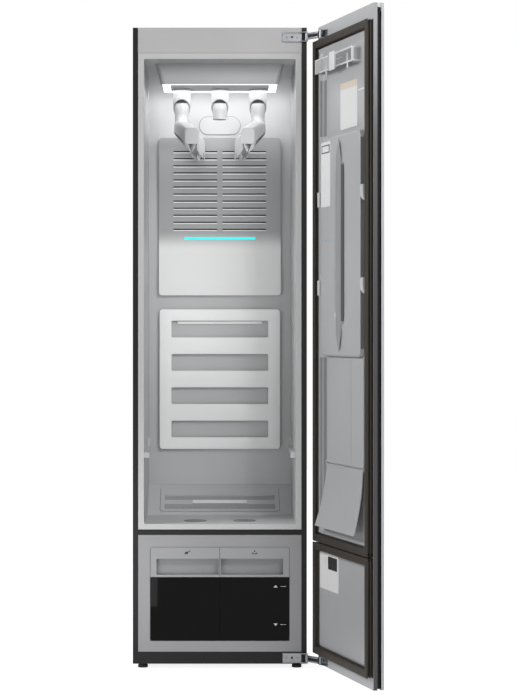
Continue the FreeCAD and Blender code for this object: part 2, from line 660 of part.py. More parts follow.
def base_tray():
    """The bottom pan, with its front band, lips and the four nuts for the feet."""
    back = DEPTH - 2 * SHEET
    floor = block(-PANEL_INNER, PANEL_INNER, SHEET, back, FOOT_DROP, BASE_TOP)
    band = block(-FRONT_INNER, FRONT_INNER, 0, SHEET, FOOT_DROP, BAND_TOP)
    lip_top = FOOT_DROP + TRAY_LIP
    left = block(-PANEL_INNER, -PANEL_INNER + SHEET, SHEET, back, FOOT_DROP, lip_top)
    right = block(PANEL_INNER - SHEET, PANEL_INNER, SHEET, back, FOOT_DROP, lip_top)
    nuts, holes = [], []
    for x, y in FEET.values():
        nuts.append(rod(NUT_RADIUS, V(x, y, BASE_TOP), V(x, y, BASE_TOP + NUT_HEIGHT)))
        holes.append(rod(STEM_RADIUS + RUNNING, V(x, y, 0), V(x, y, BASE_TOP + 2 * NUT_HEIGHT)))
    return fused(floor, band, left, right, *nuts).cut(Part.makeCompound(holes))


def divider_rail():
    face = block(-FRONT_INNER, FRONT_INNER, 0, SHEET, DIVIDER_BOTTOM, DIVIDER_TOP)
    top = block(-FRONT_INNER, FRONT_INNER, 0, DIVIDER_DEPTH, DIVIDER_TOP - SHEET, DIVIDER_TOP)
    low = block(-FRONT_INNER, FRONT_INNER, 0, DIVIDER_DEPTH, DIVIDER_BOTTOM, DIVIDER_BOTTOM + SHEET)
    return fused(face, top, low)


def top_fascia():
    under = HEIGHT - SHEET
    face = block(-FRONT_INNER, FRONT_INNER, 0, SHEET, FASCIA_BOTTOM, HEIGHT)
    top = block(-FRONT_INNER, FRONT_INNER, 0, FASCIA_FLANGE, under - SHEET, under)
    low = block(-FRONT_INNER, FRONT_INNER, 0, FASCIA_FLANGE, FASCIA_BOTTOM, FASCIA_BOTTOM + SHEET)
    return fused(face, top, low)


def foot(x, y):
    """A levelling foot: pad, neck and threaded stem."""
    neck_top = FOOT_DROP - FIT
    pad = rod(FOOT_PAD_RADIUS, V(x, y, 0), V(x, y, FOOT_PAD_HEIGHT))
    pad = pad.makeFillet(FOOT_PAD_HEIGHT / 5, [e for e in pad.Edges if e.Length > FOOT_PAD_RADIUS * 6
                                              and e.BoundBox.ZMin > FOOT_PAD_HEIGHT / 2])
    neck = rod(FOOT_NECK_RADIUS, V(x, y, FOOT_PAD_HEIGHT), V(x, y, neck_top))
    stem = rod(STEM_RADIUS, V(x, y, FOOT_PAD_HEIGHT), V(x, y, neck_top + STEM_LENGTH))
    return fused(pad, neck, stem)


def save_casing():
    left = side_panel()
    save("side_panel_left", left)
    save("side_panel_right", mirrored(left))
    save("top_panel", top_panel())
    save("back_panel", back_panel())
    save("base_tray", base_tray())
    save("divider_rail", divider_rail())
    save("top_fascia", top_fascia())
    for name, (x, y) in FEET.items():
        save(name, foot(x, y))


# ---- cavity
def cavity_frame():
    outer = block(-FRAME_HALF, FRAME_HALF, 0, FRAME_THICKNESS, FRAME_BOTTOM, FRAME_TOP)
    opening = plate_xz(CAVITY_HALF, -FRAME_THICKNESS, 2 * FRAME_THICKNESS,
                       CAVITY_BOTTOM, CAVITY_TOP, CAVITY_CORNER)
    return outer.cut(opening)


def cavity_liner():
    """The left and right walls, and the ceiling with its three air holes."""
    outer = CAVITY_HALF + LINER
    wall = block(-outer, -CAVITY_HALF, FRAME_THICKNESS, CAVITY_BACK_Y, CAVITY_BOTTOM - LINER, CAVITY_TOP)
    ceiling = block(-outer, outer, FRAME_THICKNESS, CAVITY_BACK_Y, CAVITY_TOP, CEILING_TOP)
    holes = [rod(COLLAR_BORE, V(x, PORT_Y, CAVITY_TOP - LINER), V(x, PORT_Y, CEILING_TOP + LINER))
             for x in PORTS]
    return [wall, mirrored(wall), ceiling.cut(Part.makeCompound(holes))]


def cavity_back_wall():
    outer = CAVITY_HALF + LINER
    wall = block(-outer, outer, CAVITY_BACK_Y, LINER_BACK_Y, CAVITY_BOTTOM - LINER, CEILING_TOP)
    hole = rod(FAN_HOLE_RADIUS, V(0, CAVITY_BACK_Y - LINER, FAN_Z), V(0, LINER_BACK_Y + LINER, FAN_Z))
    return wall.cut(hole)


def on_slope(shape):
    """Puts a shape drawn on a level floor, with s as Y from 0, on the floor's slope."""
    shape.rotate(V(0, 0, 0), ALONG_X, FLOOR_SLOPE)
    shape.translate(V(0, FLOOR_FLAT, CAVITY_BOTTOM))
    return shape


def filter_cage_box(margin):
    """The space of the lint filter's cage below the slope, with a margin all round."""
    half = FILTER_PAN_WIDTH / 2 - FILTER_CAGE_MARGIN + margin
    start = FILTER_PAN_S + FILTER_CAGE_MARGIN - margin
    end = FILTER_PAN_S + FILTER_PAN_LENGTH - FILTER_CAGE_MARGIN + margin
    return half, start, end


def cavity_floor():
    """The floor: flat at the front, sloped at the back, with holes for outlets and filter."""
    drop = LINER / math.cos(SLOPE)
    knee = LINER * math.tan(SLOPE / 2)
    outline = [
        V(-CAVITY_HALF, FRAME_THICKNESS, CAVITY_BOTTOM),
        V(-CAVITY_HALF, FLOOR_FLAT, CAVITY_BOTTOM),
        V(-CAVITY_HALF, CAVITY_BACK_Y, SLOPE_TOP),
        V(-CAVITY_HALF, CAVITY_BACK_Y, SLOPE_TOP - drop),
        V(-CAVITY_HALF, FLOOR_FLAT + knee, CAVITY_BOTTOM - LINER),
        V(-CAVITY_HALF, FRAME_THICKNESS, CAVITY_BOTTOM - LINER),
    ]
    floor = prism(outline, V(2 * CAVITY_HALF, 0, 0))
    half = FILTER_PAN_WIDTH / 2 + FIT
    start, end = FILTER_PAN_S - FIT, FILTER_PAN_S + FILTER_PAN_LENGTH + FIT
    well = on_slope(block(-half, half, start, end, -4 * LINER, 4 * LINER))
    holes = [rod(OUTLET_SPIGOT_RADIUS + FIT, V(x, OUTLET_Y, CAVITY_BOTTOM - 2 * LINER),
                 V(x, OUTLET_Y, CAVITY_BOTTOM + LINER)) for x in (-OUTLET_X, OUTLET_X)]
    return floor.cut(Part.makeCompound([well] + holes))


def steam_outlets():
    """Two slotted discs on the floor, each with a spigot below it."""
    solids = []
    for x in (-OUTLET_X, OUTLET_X):
        top = CAVITY_BOTTOM + OUTLET_HEIGHT
        disc = rod(OUTLET_RADIUS, V(x, OUTLET_Y, CAVITY_BOTTOM), V(x, OUTLET_Y, top))
        rim = [e for e in disc.Edges if e.BoundBox.ZMin > CAVITY_BOTTOM + OUTLET_HEIGHT / 2]
        disc = disc.makeChamfer(OUTLET_HEIGHT / 2, rim)
        foot_z = CAVITY_BOTTOM - OUTLET_SPIGOT_LENGTH
        bore = OUTLET_SPIGOT_RADIUS - HOSE_WALL
        spigot = tube(OUTLET_SPIGOT_RADIUS, bore, V(x, OUTLET_Y, foot_z), V(x, OUTLET_Y, CAVITY_BOTTOM))
        slots = []
        pitch = 2 * bore / (OUTLET_SLOTS + 1)
        for i in range(OUTLET_SLOTS):
            mid = OUTLET_Y - bore + (i + 1) * pitch
            reach = math.sqrt(bore ** 2 - (mid - OUTLET_Y) ** 2) - OUTLET_SLOT_WIDTH / 2
            slots.append(block(x - reach, x + reach, mid - OUTLET_SLOT_WIDTH / 2,
                               mid + OUTLET_SLOT_WIDTH / 2, CAVITY_BOTTOM, top))
        solids.append(fused(disc, spigot).cut(Part.makeCompound(slots)))
    return solids


def lint_filter():
    """Cover plate, pan with a grip bar across it, and the mesh cage under the pan."""
    end = FILTER_S + FILTER_LENGTH
    half = FILTER_WIDTH / 2
    plate = rounded(block(-half, half, FILTER_S, end, 0, FILTER_PLATE), FILTER_CORNER, UP)
    pan_half = FILTER_PAN_WIDTH / 2
    pan_end = FILTER_PAN_S + FILTER_PAN_LENGTH
    pan = block(-pan_half, pan_half, FILTER_PAN_S, pan_end, -FILTER_PAN_DEPTH, FILTER_PLATE)
    hollow = block(-pan_half + FILTER_WALL, pan_half - FILTER_WALL, FILTER_PAN_S + FILTER_WALL,
                   pan_end - FILTER_WALL, -FILTER_PAN_DEPTH + FILTER_WALL, 2 * FILTER_PLATE)
    bar_end = FILTER_BAR_S + FILTER_BAR_LENGTH
    bar = block(-pan_half, pan_half, FILTER_BAR_S, bar_end,
                FILTER_PLATE - FILTER_BAR_THICKNESS - FILTER_HANDLE_RISE, FILTER_PLATE - FILTER_HANDLE_RISE)
    grip_half = FILTER_HANDLE_WIDTH / 2
    grip = block(-grip_half, grip_half, FILTER_BAR_S, bar_end - FILTER_BAR_THICKNESS,
                 FILTER_PLATE - FILTER_BAR_THICKNESS - FILTER_HANDLE_RISE, FILTER_PLATE)
    cage_half, cage_start, cage_end = filter_cage_box(0)
    cage = block(-cage_half, cage_half, cage_start, cage_end,
                 -FILTER_PAN_DEPTH - FILTER_CAGE_DEPTH, -FILTER_PAN_DEPTH)
    inside = block(-cage_half + FILTER_WALL, cage_half - FILTER_WALL, cage_start + FILTER_WALL,
                   cage_end - FILTER_WALL, -FILTER_PAN_DEPTH - FILTER_CAGE_DEPTH - FILTER_WALL,
                   -FILTER_PAN_DEPTH)
    body = fused(plate, pan, cage.cut(inside)).cut(hollow)
    return on_slope(fused(body, bar, grip))


def service_cover():
    z0 = SERVICE_COVER_Z - SERVICE_COVER_HEIGHT / 2
    z1 = z0 + SERVICE_COVER_HEIGHT
    return plate_xz(SERVICE_COVER_WIDTH / 2, CAVITY_BACK_Y - SERVICE_COVER_PROUD, CAVITY_BACK_Y,
                    z0, z1, SERVICE_COVER_HEIGHT / 2 - TIGHT)


def shelf_bracket():
    """The left bracket: wall strip, ledge, a tab at its front and a clip at its rear."""
    wall = -CAVITY_HALF
    low = BRACKET_TOP - BRACKET_THICKNESS
    end = BRACKET_Y + BRACKET_LENGTH
    ledge = block(wall, wall + BRACKET_WIDTH, BRACKET_Y, end, low, BRACKET_TOP)
    tab = block(wall, wall + BRACKET_WIDTH, BRACKET_Y, BRACKET_Y + BRACKET_TAB_LENGTH,
                BRACKET_TOP - BRACKET_TAB, BRACKET_TOP)
    strip = block(wall, wall + BRACKET_THICKNESS, BRACKET_Y, end, BRACKET_TOP - BRACKET_TAB, BRACKET_TOP)
    post = block(wall, wall + BRACKET_THICKNESS, CLIP_Y, CLIP_Y + CLIP_LENGTH, low, CLIP_TOP)
    clip = block(wall, wall + CLIP_WIDTH, CLIP_Y, CLIP_Y + CLIP_LENGTH, CLIP_BOTTOM, CLIP_TOP)
    return fused(ledge, tab, strip, post, clip)


def save_cavity():
    save("cavity_frame", cavity_frame())
    save("cavity_liner", *cavity_liner())
    save("cavity_back_wall", cavity_back_wall())
    save("cavity_floor", cavity_floor())
    save("steam_outlets", *steam_outlets())
    save("lint_filter", lint_filter())
    save("service_cover", service_cover())
    bracket = shelf_bracket()
    save("shelf_brackets", bracket, mirrored(bracket))


# ---- hanger housing, hangers and nozzle
def rounded_outline(half, y0, y1, z, corner):
    """The outline of a level rectangle with round corners."""
    sheet = rounded(block(-half, half, y0, y1, z, z + 1), corner, UP)
    return [face for face in sheet.Faces if face.BoundBox.ZMax < z + 1 / 2][0].OuterWire


def tapered_box(inset, z0, z1):
    """The hanger housing's outer form, or its inside at an inset, between two heights."""
    slope = (HOUSING_TOP_HALF - HOUSING_BOTTOM_HALF) / HOUSING_HEIGHT
    y0, y1 = HOUSING_Y + inset, HOUSING_Y + HOUSING_DEPTH - inset
    outlines = [rounded_outline(HOUSING_BOTTOM_HALF - inset + slope * (z - HOUSING_BOTTOM), y0, y1, z,
                                HOUSING_CORNER - inset) for z in (z0, z1)]
    return Part.makeLoft(outlines, True, True)


def hanger_housing():
    """The tapered shell, and the port plate that is recessed in its underside."""
    shell = tapered_box(0, HOUSING_BOTTOM, CAVITY_TOP)
    shell = shell.cut(tapered_box(HOUSING_WALL, HOUSING_BOTTOM - HOUSING_WALL, CAVITY_TOP + HOUSING_WALL))
    half = PORT_PLATE_HALF + PORT_PLATE_LAP
    y0 = PORT_PLATE_Y - PORT_PLATE_LAP
    y1 = PORT_PLATE_Y + PORT_PLATE_DEPTH + PORT_PLATE_LAP
    low = HOUSING_BOTTOM + DIFFUSER_THICKNESS
    top = PORT_PLATE_Z + PORT_PLATE_THICKNESS
    plate = block(-half, half, y0, y1, low, top)
    plate = plate.cut(block(-PORT_PLATE_HALF, PORT_PLATE_HALF, PORT_PLATE_Y,
                            PORT_PLATE_Y + PORT_PLATE_DEPTH, low, PORT_PLATE_Z))
    holes = [rod(PORT_HOLE_RADIUS, V(x, PORT_Y, low), V(x, PORT_Y, top)) for x in PORTS]
    return [shell, plate.cut(Part.makeCompound(holes))]


def lamp_diffuser():
    ring = tapered_box(HOUSING_WALL + TIGHT, HOUSING_BOTTOM, HOUSING_BOTTOM + DIFFUSER_THICKNESS)
    opening = block(-PORT_PLATE_HALF, PORT_PLATE_HALF, PORT_PLATE_Y, PORT_PLATE_Y + PORT_PLATE_DEPTH,
                    HOUSING_BOTTOM - DIFFUSER_THICKNESS, HOUSING_BOTTOM + 2 * DIFFUSER_THICKNESS)
    return ring.cut(opening)


def port_collar(x):
    """A round collar whose lower edge slants down from the front to the back."""
    front_y = PORT_Y - COLLAR_RADIUS
    drop = 2 * COLLAR_RADIUS * math.tan(math.radians(COLLAR_SLANT))
    low = COLLAR_FRONT_Z - drop
    collar = tube(COLLAR_RADIUS, COLLAR_BORE, V(x, PORT_Y, low), V(x, PORT_Y, PORT_PLATE_Z))
    wedge = prism([V(x - COLLAR_RADIUS, front_y, low), V(x - COLLAR_RADIUS, front_y, COLLAR_FRONT_Z),
                   V(x - COLLAR_RADIUS, PORT_Y + COLLAR_RADIUS, low)], V(2 * COLLAR_RADIUS, 0, 0))
    return collar.cut(wedge)


def port_ring(x):
    return tube(COLLAR_BORE - FIT, SPIGOT_RADIUS + TIGHT, V(x, PORT_Y, RING_Z),
                V(x, PORT_Y, RING_Z + RING_HEIGHT))


def neck(x, low):
    """A hollow spigot that widens to a shoulder and narrows to the neck below it."""
    shoulder_top = RING_Z - FIT
    outline = [
        (SPIGOT_RADIUS, SPIGOT_TOP_Z), (SPIGOT_RADIUS, shoulder_top),
        ((SPIGOT_RADIUS + SHOULDER_RADIUS) / 2 + NECK_WALL, shoulder_top - NECK_WALL),
        (SHOULDER_RADIUS, SHOULDER_Z), (NECK_RADIUS, SHOULDER_Z - SHOULDER_RADIUS), (NECK_RADIUS, low),
        (NECK_RADIUS - NECK_WALL, low), (NECK_RADIUS - NECK_WALL, SHOULDER_Z - SHOULDER_RADIUS),
        (SPIGOT_RADIUS - NECK_WALL, shoulder_top - 2 * NECK_WALL), (SPIGOT_RADIUS - NECK_WALL, SPIGOT_TOP_Z),
    ]
    return revolved(outline, x, PORT_Y)


def hanger_section(y, inward, inset, drop):
    """The hanger's outline across its length at y: upright flanks under a round crown."""
    share = y / HANGER_REACH
    x = HANGER_CURVE * share ** 2
    half = HANGER_MIDDLE_HALF + (HANGER_TIP_HALF - HANGER_MIDDLE_HALF) * abs(share) - inset - inward
    top = HANGER_TOP_Z + (HANGER_TIP_Z - HANGER_TOP_Z) * share ** 2 - inset
    out = (abs(y) - NECK_RADIUS) / (HANGER_REACH - NECK_RADIUS)
    low = HANGER_MIDDLE_Z + (HANGER_LOW_Z - HANGER_MIDDLE_Z) * out - drop
    radius = HANGER_ROUND - inset
    bend = radius * (1 - math.sqrt(1 / 2))
    left = [V(x - half, y, top - radius), V(x - half + bend, y, top - bend), V(x - half + radius, y, top)]
    right = [V(x + half - radius, y, top), V(x + half - bend, y, top - bend), V(x + half, y, top - radius)]
    low_left, low_right = V(x - half, y, low), V(x + half, y, low)
    return Part.Wire([Part.makeLine(low_left, left[0]), Part.Arc(*left).toShape(),
                      Part.makeLine(left[2], right[0]), Part.Arc(*right).toShape(),
                      Part.makeLine(right[2], low_right), Part.makeLine(low_right, low_left)])


def hanger_form(inset, drop):
    """The arched form that curves to +X at both tips, or its inside at an inset."""
    corner = HANGER_CORNER - inset
    straight = HANGER_REACH - HANGER_CORNER
    step = (straight - NECK_RADIUS) / HANGER_STEPS
    arm = [(NECK_RADIUS + step * i, 0) for i in range(HANGER_STEPS + 1)]
    for turn in (math.pi / 6, math.pi / 3, math.pi / 2):
        arm.append((straight + corner * math.sin(turn), corner * (1 - math.cos(turn))))
    stations = [(-y, inward) for y, inward in reversed(arm)] + arm
    return Part.makeLoft([hanger_section(y, inward, inset, drop) for y, inward in stations], True, True)


def hanger():
    """An air hanger about its neck at X = Y = 0: an arched hollow channel, open below."""
    outer = hanger_form(0, 0)
    shell = outer.cut(hanger_form(HANGER_WALL, HANGER_WALL))
    bore = NECK_RADIUS - NECK_WALL
    cuts = [rod(bore, V(0, 0, HANGER_CAP_Z), V(0, 0, HANGER_TOP_Z + 1))]
    inside = HANGER_TIP_HALF - HANGER_WALL
    ribs = []
    for sign in (-1, 1):
        y0, y1 = sorted((sign * (HANGER_REACH - HANGER_CORNER), sign * (HANGER_REACH + 1)))
        cuts.append(block(HANGER_CURVE - inside, HANGER_CURVE + inside, y0, y1,
                          HANGER_LOW_Z - 1, HANGER_CAP_Z))
        y = sign * HANGER_RIB_AT
        ribs.append(block(-HANGER_CURVE, 2 * HANGER_CURVE, y - HANGER_WALL / 2, y + HANGER_WALL / 2,
                          HANGER_CAP_Z, HANGER_TOP_Z))
        y0, y1 = sorted((y, sign * (HANGER_REACH - HANGER_CORNER)))
        ribs.append(block(HANGER_CURVE / 2, HANGER_CURVE / 2 + HANGER_WALL, y0, y1,
                          HANGER_LOW_Z, HANGER_TOP_Z))
    shell = shell.cut(Part.makeCompound(cuts))
    return fused(shell, *[rib.common(outer) for rib in ribs])


def air_hanger(x, swivel):
    body = hanger()
    body.rotate(V(0, 0, 0), UP, swivel)
    if x > 0:
        body = mirrored(body)
    body.translate(V(x, PORT_Y, 0))
    return fused(body, neck(x, HANGER_TOP_Z - HANGER_ROUND - HANGER_WALL))


def save_hangers():
    save("hanger_housing", *hanger_housing())
    save("lamp_diffuser", lamp_diffuser())
    save("port_collars", *[port_collar(x) for x in PORTS])
    save("port_ring_left", port_ring(-PORT_X))
    save("port_ring_right", port_ring(PORT_X))
    save("hanger_left", air_hanger(-PORT_X, -HANGER_SWIVEL))
    save("hanger_right", air_hanger(PORT_X, -HANGER_SWIVEL))
    save("center_nozzle", neck(0, NOZZLE_LOW_Z))


# ---- grille panel, light bar and rack
def grille_form(inset):
    """The grille panel's outer form, with its shallow valley at the light bar."""
    half = GRILLE_HALF - inset
    low, high = GRILLE_BOTTOM + inset, GRILLE_TOP - inset
    outline = [V(-half, CAVITY_BACK_Y, low), V(-half, GRILLE_FACE_Y + inset, low),
               V(-half, VALLEY_Y + inset, LIGHT_BAR_Z), V(-half, GRILLE_FACE_Y + inset, high),
               V(-half, CAVITY_BACK_Y, high)]
    form = prism(outline, V(2 * half, 0, 0))
    return rounded(form, GRILLE_CORNER - inset, ALONG_Y)


def light_bar_box(margin):
    return block(-LIGHT_BAR_HALF - margin, LIGHT_BAR_HALF + margin,
                 VALLEY_Y - 1, VALLEY_Y - 1 + LIGHT_BAR_DEPTH + margin,
                 LIGHT_BAR_Z - LIGHT_BAR_HEIGHT / 2 - margin, LIGHT_BAR_Z + LIGHT_BAR_HEIGHT / 2 + margin)


def grille_panel():
    """A shallow open-backed box with two columns of louvre slots and the light bar's slot."""
    shell = grille_form(0).cut(grille_form(GRILLE_WALL))
    cuts = [light_bar_box(TIGHT)]
    for row in range(LOUVRE_ROWS):
        z = LOUVRE_TOP - row * LOUVRE_PITCH
        for side in (-1, 1):
            x0, x1 = sorted((side * LOUVRE_INNER, side * LOUVRE_OUTER))
            cuts.append(block(x0, x1, GRILLE_FACE_Y - 1, VALLEY_Y + 2 * GRILLE_WALL,
                              z - LOUVRE_HEIGHT / 2, z + LOUVRE_HEIGHT / 2))
    return shell.cut(Part.makeCompound(cuts))


def rack_hooks():
    """The rail behind the rack's top window and the four pegs that the rack clips on."""
    rail = block(-HOOK_RAIL_HALF, HOOK_RAIL_HALF, CAVITY_BACK_Y - HOOK_RAIL_DEPTH, CAVITY_BACK_Y,
                 HOOK_RAIL_Z - HOOK_RAIL_HEIGHT / 2, HOOK_RAIL_Z + HOOK_RAIL_HEIGHT / 2)
    pegs = [rod(PEG_RADIUS, V(x, RACK_FACE_Y + RACK_PLATE / 2, z), V(x, CAVITY_BACK_Y, z)) for x, z in PEGS]
    return [rail] + pegs


def storage_rack():
    """A plate with four windows, a turned-back rim and four bosses for the pegs."""
    plate = plate_xz(RACK_HALF, RACK_FACE_Y, RACK_BACK_Y, RACK_BOTTOM, RACK_TOP, RACK_CORNER)
    windows = [plate_xz(RACK_WINDOW_HALF, RACK_FACE_Y - 1, RACK_BACK_Y + 1, z - RACK_WINDOW_HEIGHT / 2,
                        z + RACK_WINDOW_HEIGHT / 2, RACK_WINDOW_CORNER) for z in RACK_WINDOW_ZS]
    plate = plate.cut(Part.makeCompound(windows))
    wall_y = CAVITY_BACK_Y - FIT
    bosses = [rod(BOSS_RADIUS, V(x, RACK_BACK_Y, z), V(x, wall_y, z)) for x, z in PEGS]
    bores = [rod(PEG_RADIUS + FIT, V(x, RACK_FACE_Y + RACK_PLATE / 2 - FIT, z), V(x, wall_y + 1, z))
             for x, z in PEGS]
    return fused(plate, *bosses).cut(Part.makeCompound(bores))


def save_wall_pieces():
    save("grille_panel", grille_panel())
    save("light_bar_lens", light_bar_box(0))
    save("rack_hooks", *rack_hooks())
    save("storage_rack", storage_rack())


# ---- lower bay and tanks
def bay_frame():
    outer = block(-FRAME_HALF, FRAME_HALF, 0, FRAME_THICKNESS, BAY_FRAME_BOTTOM, BAY_FRAME_TOP)
    opening = plate_xz(BAY_HALF, -FRAME_THICKNESS, 2 * FRAME_THICKNESS, BAY_BOTTOM, BAY_TOP, BAY_CORNER)
    return outer.cut(opening)


def bay_tray():
    half = BAY_HALF + BAY_TRAY_MARGIN
    low, high = BAY_BOTTOM - BAY_TRAY_MARGIN, BAY_TOP + BAY_TRAY_MARGIN
    back = FRAME_THICKNESS + TANK_DEPTH
    wall = BAY_TRAY_WALL
    outer = block(-half - wall, half + wall, FRAME_THICKNESS, back + wall, low - wall, high + wall)
    return outer.cut(block(-half, half, 0, back, low, high))


def tank_sides(side):
    """The left and right X of one tank; side is -1 for the left one and 1 for the right one."""
    return sorted((side * TANK_SIDE_GAP / 2, side * (BAY_HALF - TANK_SIDE_GAP)))


def tank_body(side):
    """The clear container, open above."""
    x0, x1 = tank_sides(side)
    low = BAY_BOTTOM + FIT
    back = TANK_FRONT_Y + TANK_DEPTH - FIT
    bin_shape = block(x0, x1, TANK_FRONT_Y, back, low, TANK_SPLIT - TIGHT)
    corner = [e for e in bin_shape.Edges if e.BoundBox.YLength > 1 and e.BoundBox.ZMax < low + 1
              and side * e.BoundBox.XMax > BAY_HALF / 2]
    bin_shape = bin_shape.makeFillet(BAY_CORNER - TANK_SIDE_GAP, corner)
    inside = block(x0 + TANK_WALL, x1 - TANK_WALL, TANK_FRONT_Y + TANK_WALL, back - TANK_WALL,
                   low + TANK_WALL, TANK_SPLIT)
    return bin_shape.cut(rounded(inside, TANK_WALL, UP))


def tank_front(side):
    """The grip front with its finger recess, and the lid with a filler hole behind it."""
    x0, x1 = tank_sides(side)
    top = BAY_TOP - FIT
    body = block(x0, x1, TANK_FRONT_Y, TANK_FRONT_Y + GRIP_DEPTH + FRONT_WALL, TANK_SPLIT, top)
    corner = [e for e in body.Edges if e.BoundBox.YLength > 1 and e.BoundBox.ZMin > top - 1
              and side * e.BoundBox.XMax > BAY_HALF / 2]
    body = body.makeFillet(BAY_CORNER - TANK_SIDE_GAP, corner)
    back = TANK_FRONT_Y + TANK_DEPTH - FIT
    lid = block(x0, x1, TANK_FRONT_Y + FRONT_WALL, back, TANK_SPLIT, TANK_SPLIT + FRONT_WALL)
    g0, g1 = sorted((side * GRIP_INNER, side * GRIP_HALF))
    grip = block(g0, g1, 0, TANK_FRONT_Y + GRIP_DEPTH, GRIP_BOTTOM, GRIP_TOP)
    wall = FRONT_WALL
    above = block(x0 + wall, x1 - wall, TANK_FRONT_Y + wall, TANK_FRONT_Y + 2 * GRIP_DEPTH,
                  GRIP_TOP + wall, top - BAY_CORNER)
    x = (x0 + x1) / 2
    filler_y = (TANK_FRONT_Y + GRIP_DEPTH + back) / 2
    filler = rod(FILLER_RADIUS, V(x, filler_y, TANK_SPLIT - wall), V(x, filler_y, TANK_SPLIT + 2 * wall))
    return fused(body, lid).cut(Part.makeCompound([grip, above, filler]))


def save_bay():
    save("bay_frame", bay_frame())
    save("bay_tray", bay_tray())
    for name, side in (("fill_tank", -1), ("drain_tank", 1)):
        save(name, tank_body(side))
        save(name + "_front", tank_front(side))


# ---- machine compartment
def steam_generator():
    """The boiler on its pan with an outlet spigot, and the water pump beside it."""
    x1, y1 = BOILER_X + BOILER_WIDTH, BOILER_Y + BOILER_DEPTH
    top = BASE_TOP + BOILER_HEIGHT
    body = rounded(block(BOILER_X, x1, BOILER_Y, y1, BASE_TOP, top), BOILER_CORNER, UP)
    x, y = BOILER_X + BOILER_WIDTH / 2, BOILER_Y + BOILER_DEPTH / 2
    spigot = rod(BOILER_SPIGOT_RADIUS, V(x, y, top), V(x, y, top + BOILER_SPIGOT_LENGTH))
    pump = block(PUMP_X, PUMP_X + PUMP_LENGTH, PUMP_Y, PUMP_Y + PUMP_WIDTH, BASE_TOP, BASE_TOP + PUMP_HEIGHT)
    mid = V(PUMP_X + PUMP_LENGTH, PUMP_Y + PUMP_WIDTH / 2, BASE_TOP + PUMP_HEIGHT / 2)
    head = rod(PUMP_HEAD_RADIUS, mid, mid + V(PUMP_HEAD_RADIUS, 0, 0))
    return [fused(body, spigot), fused(pump, head)]


def steam_hose():
    """From the boiler's spigot up, forward, and across to the spigots of both outlets."""
    x, y = BOILER_X + BOILER_WIDTH / 2, BOILER_Y + BOILER_DEPTH / 2
    start = V(x, y, BASE_TOP + BOILER_HEIGHT + BOILER_SPIGOT_LENGTH)
    bend = V(x, y, HOSE_RUN_Z)
    front = V(x, OUTLET_Y, HOSE_RUN_Z)
    far = V(OUTLET_X, OUTLET_Y, HOSE_RUN_Z)
    near = V(-OUTLET_X, OUTLET_Y, HOSE_RUN_Z)
    outlet_z = CAVITY_BOTTOM - OUTLET_SPIGOT_LENGTH
    runs = [(start, bend), (bend, front), (front, far),
            (near, V(-OUTLET_X, OUTLET_Y, outlet_z)), (far, V(OUTLET_X, OUTLET_Y, outlet_z))]
    joints = [Part.makeSphere(HOSE_RADIUS, point) for point in (bend, front, near, far)]
    return fused(*[rod(HOSE_RADIUS, a, b) for a, b in runs], *joints)


def compressor():
    """A domed shell standing on its mounting plate."""
    x, y = COMPRESSOR_X, COMPRESSOR_Y
    plate = block(x - COMPRESSOR_FOOT_HALF, x + COMPRESSOR_FOOT_HALF, y - COMPRESSOR_FOOT_HALF,
                  y + COMPRESSOR_FOOT_HALF, BASE_TOP, BASE_TOP + COMPRESSOR_FOOT)
    plate = rounded(plate, COMPRESSOR_DOME, UP)
    low = BASE_TOP + COMPRESSOR_FOOT
    can = rod(COMPRESSOR_RADIUS, V(x, y, low), V(x, y, low + COMPRESSOR_HEIGHT))
    can = can.makeFillet(COMPRESSOR_DOME, [e for e in can.Edges if e.BoundBox.ZMin > low + COMPRESSOR_DOME])
    return fused(plate, can)


def heat_exchanger():
    """A row of fins between two end plates, with the refrigerant pipes running through."""
    x1, y1 = EXCHANGER_X + EXCHANGER_WIDTH, EXCHANGER_Y + EXCHANGER_DEPTH
    top = BASE_TOP + EXCHANGER_HEIGHT
    plates = [block(x, x + EXCHANGER_END, EXCHANGER_Y, y1, BASE_TOP, top)
              for x in (EXCHANGER_X, x1 - EXCHANGER_END)]
    pitch = EXCHANGER_WIDTH / (EXCHANGER_FINS + 1)
    fins = [block(EXCHANGER_X + (i + 1) * pitch, EXCHANGER_X + (i + 1) * pitch + EXCHANGER_FIN,
                  EXCHANGER_Y, y1, BASE_TOP, top) for i in range(EXCHANGER_FINS)]
    pipes = []
    spacing = EXCHANGER_HEIGHT / PIPE_ROWS
    y = EXCHANGER_Y + EXCHANGER_DEPTH / 2
    for row in range(PIPE_ROWS):
        z = BASE_TOP + spacing * (row + 1 / 2)
        ends = V(EXCHANGER_X - PIPE_BEND, y, z), V(x1 + PIPE_BEND, y, z)
        pipes.append(rod(PIPE_RADIUS, *ends))
        if row:
            top = ends[row % 2]
            low = top - V(0, 0, spacing)
            pipes.append(rod(PIPE_RADIUS, low, top))
            pipes += [Part.makeSphere(PIPE_RADIUS, bend) for bend in (low, top)]
    return fused(*plates, *fins, *pipes)


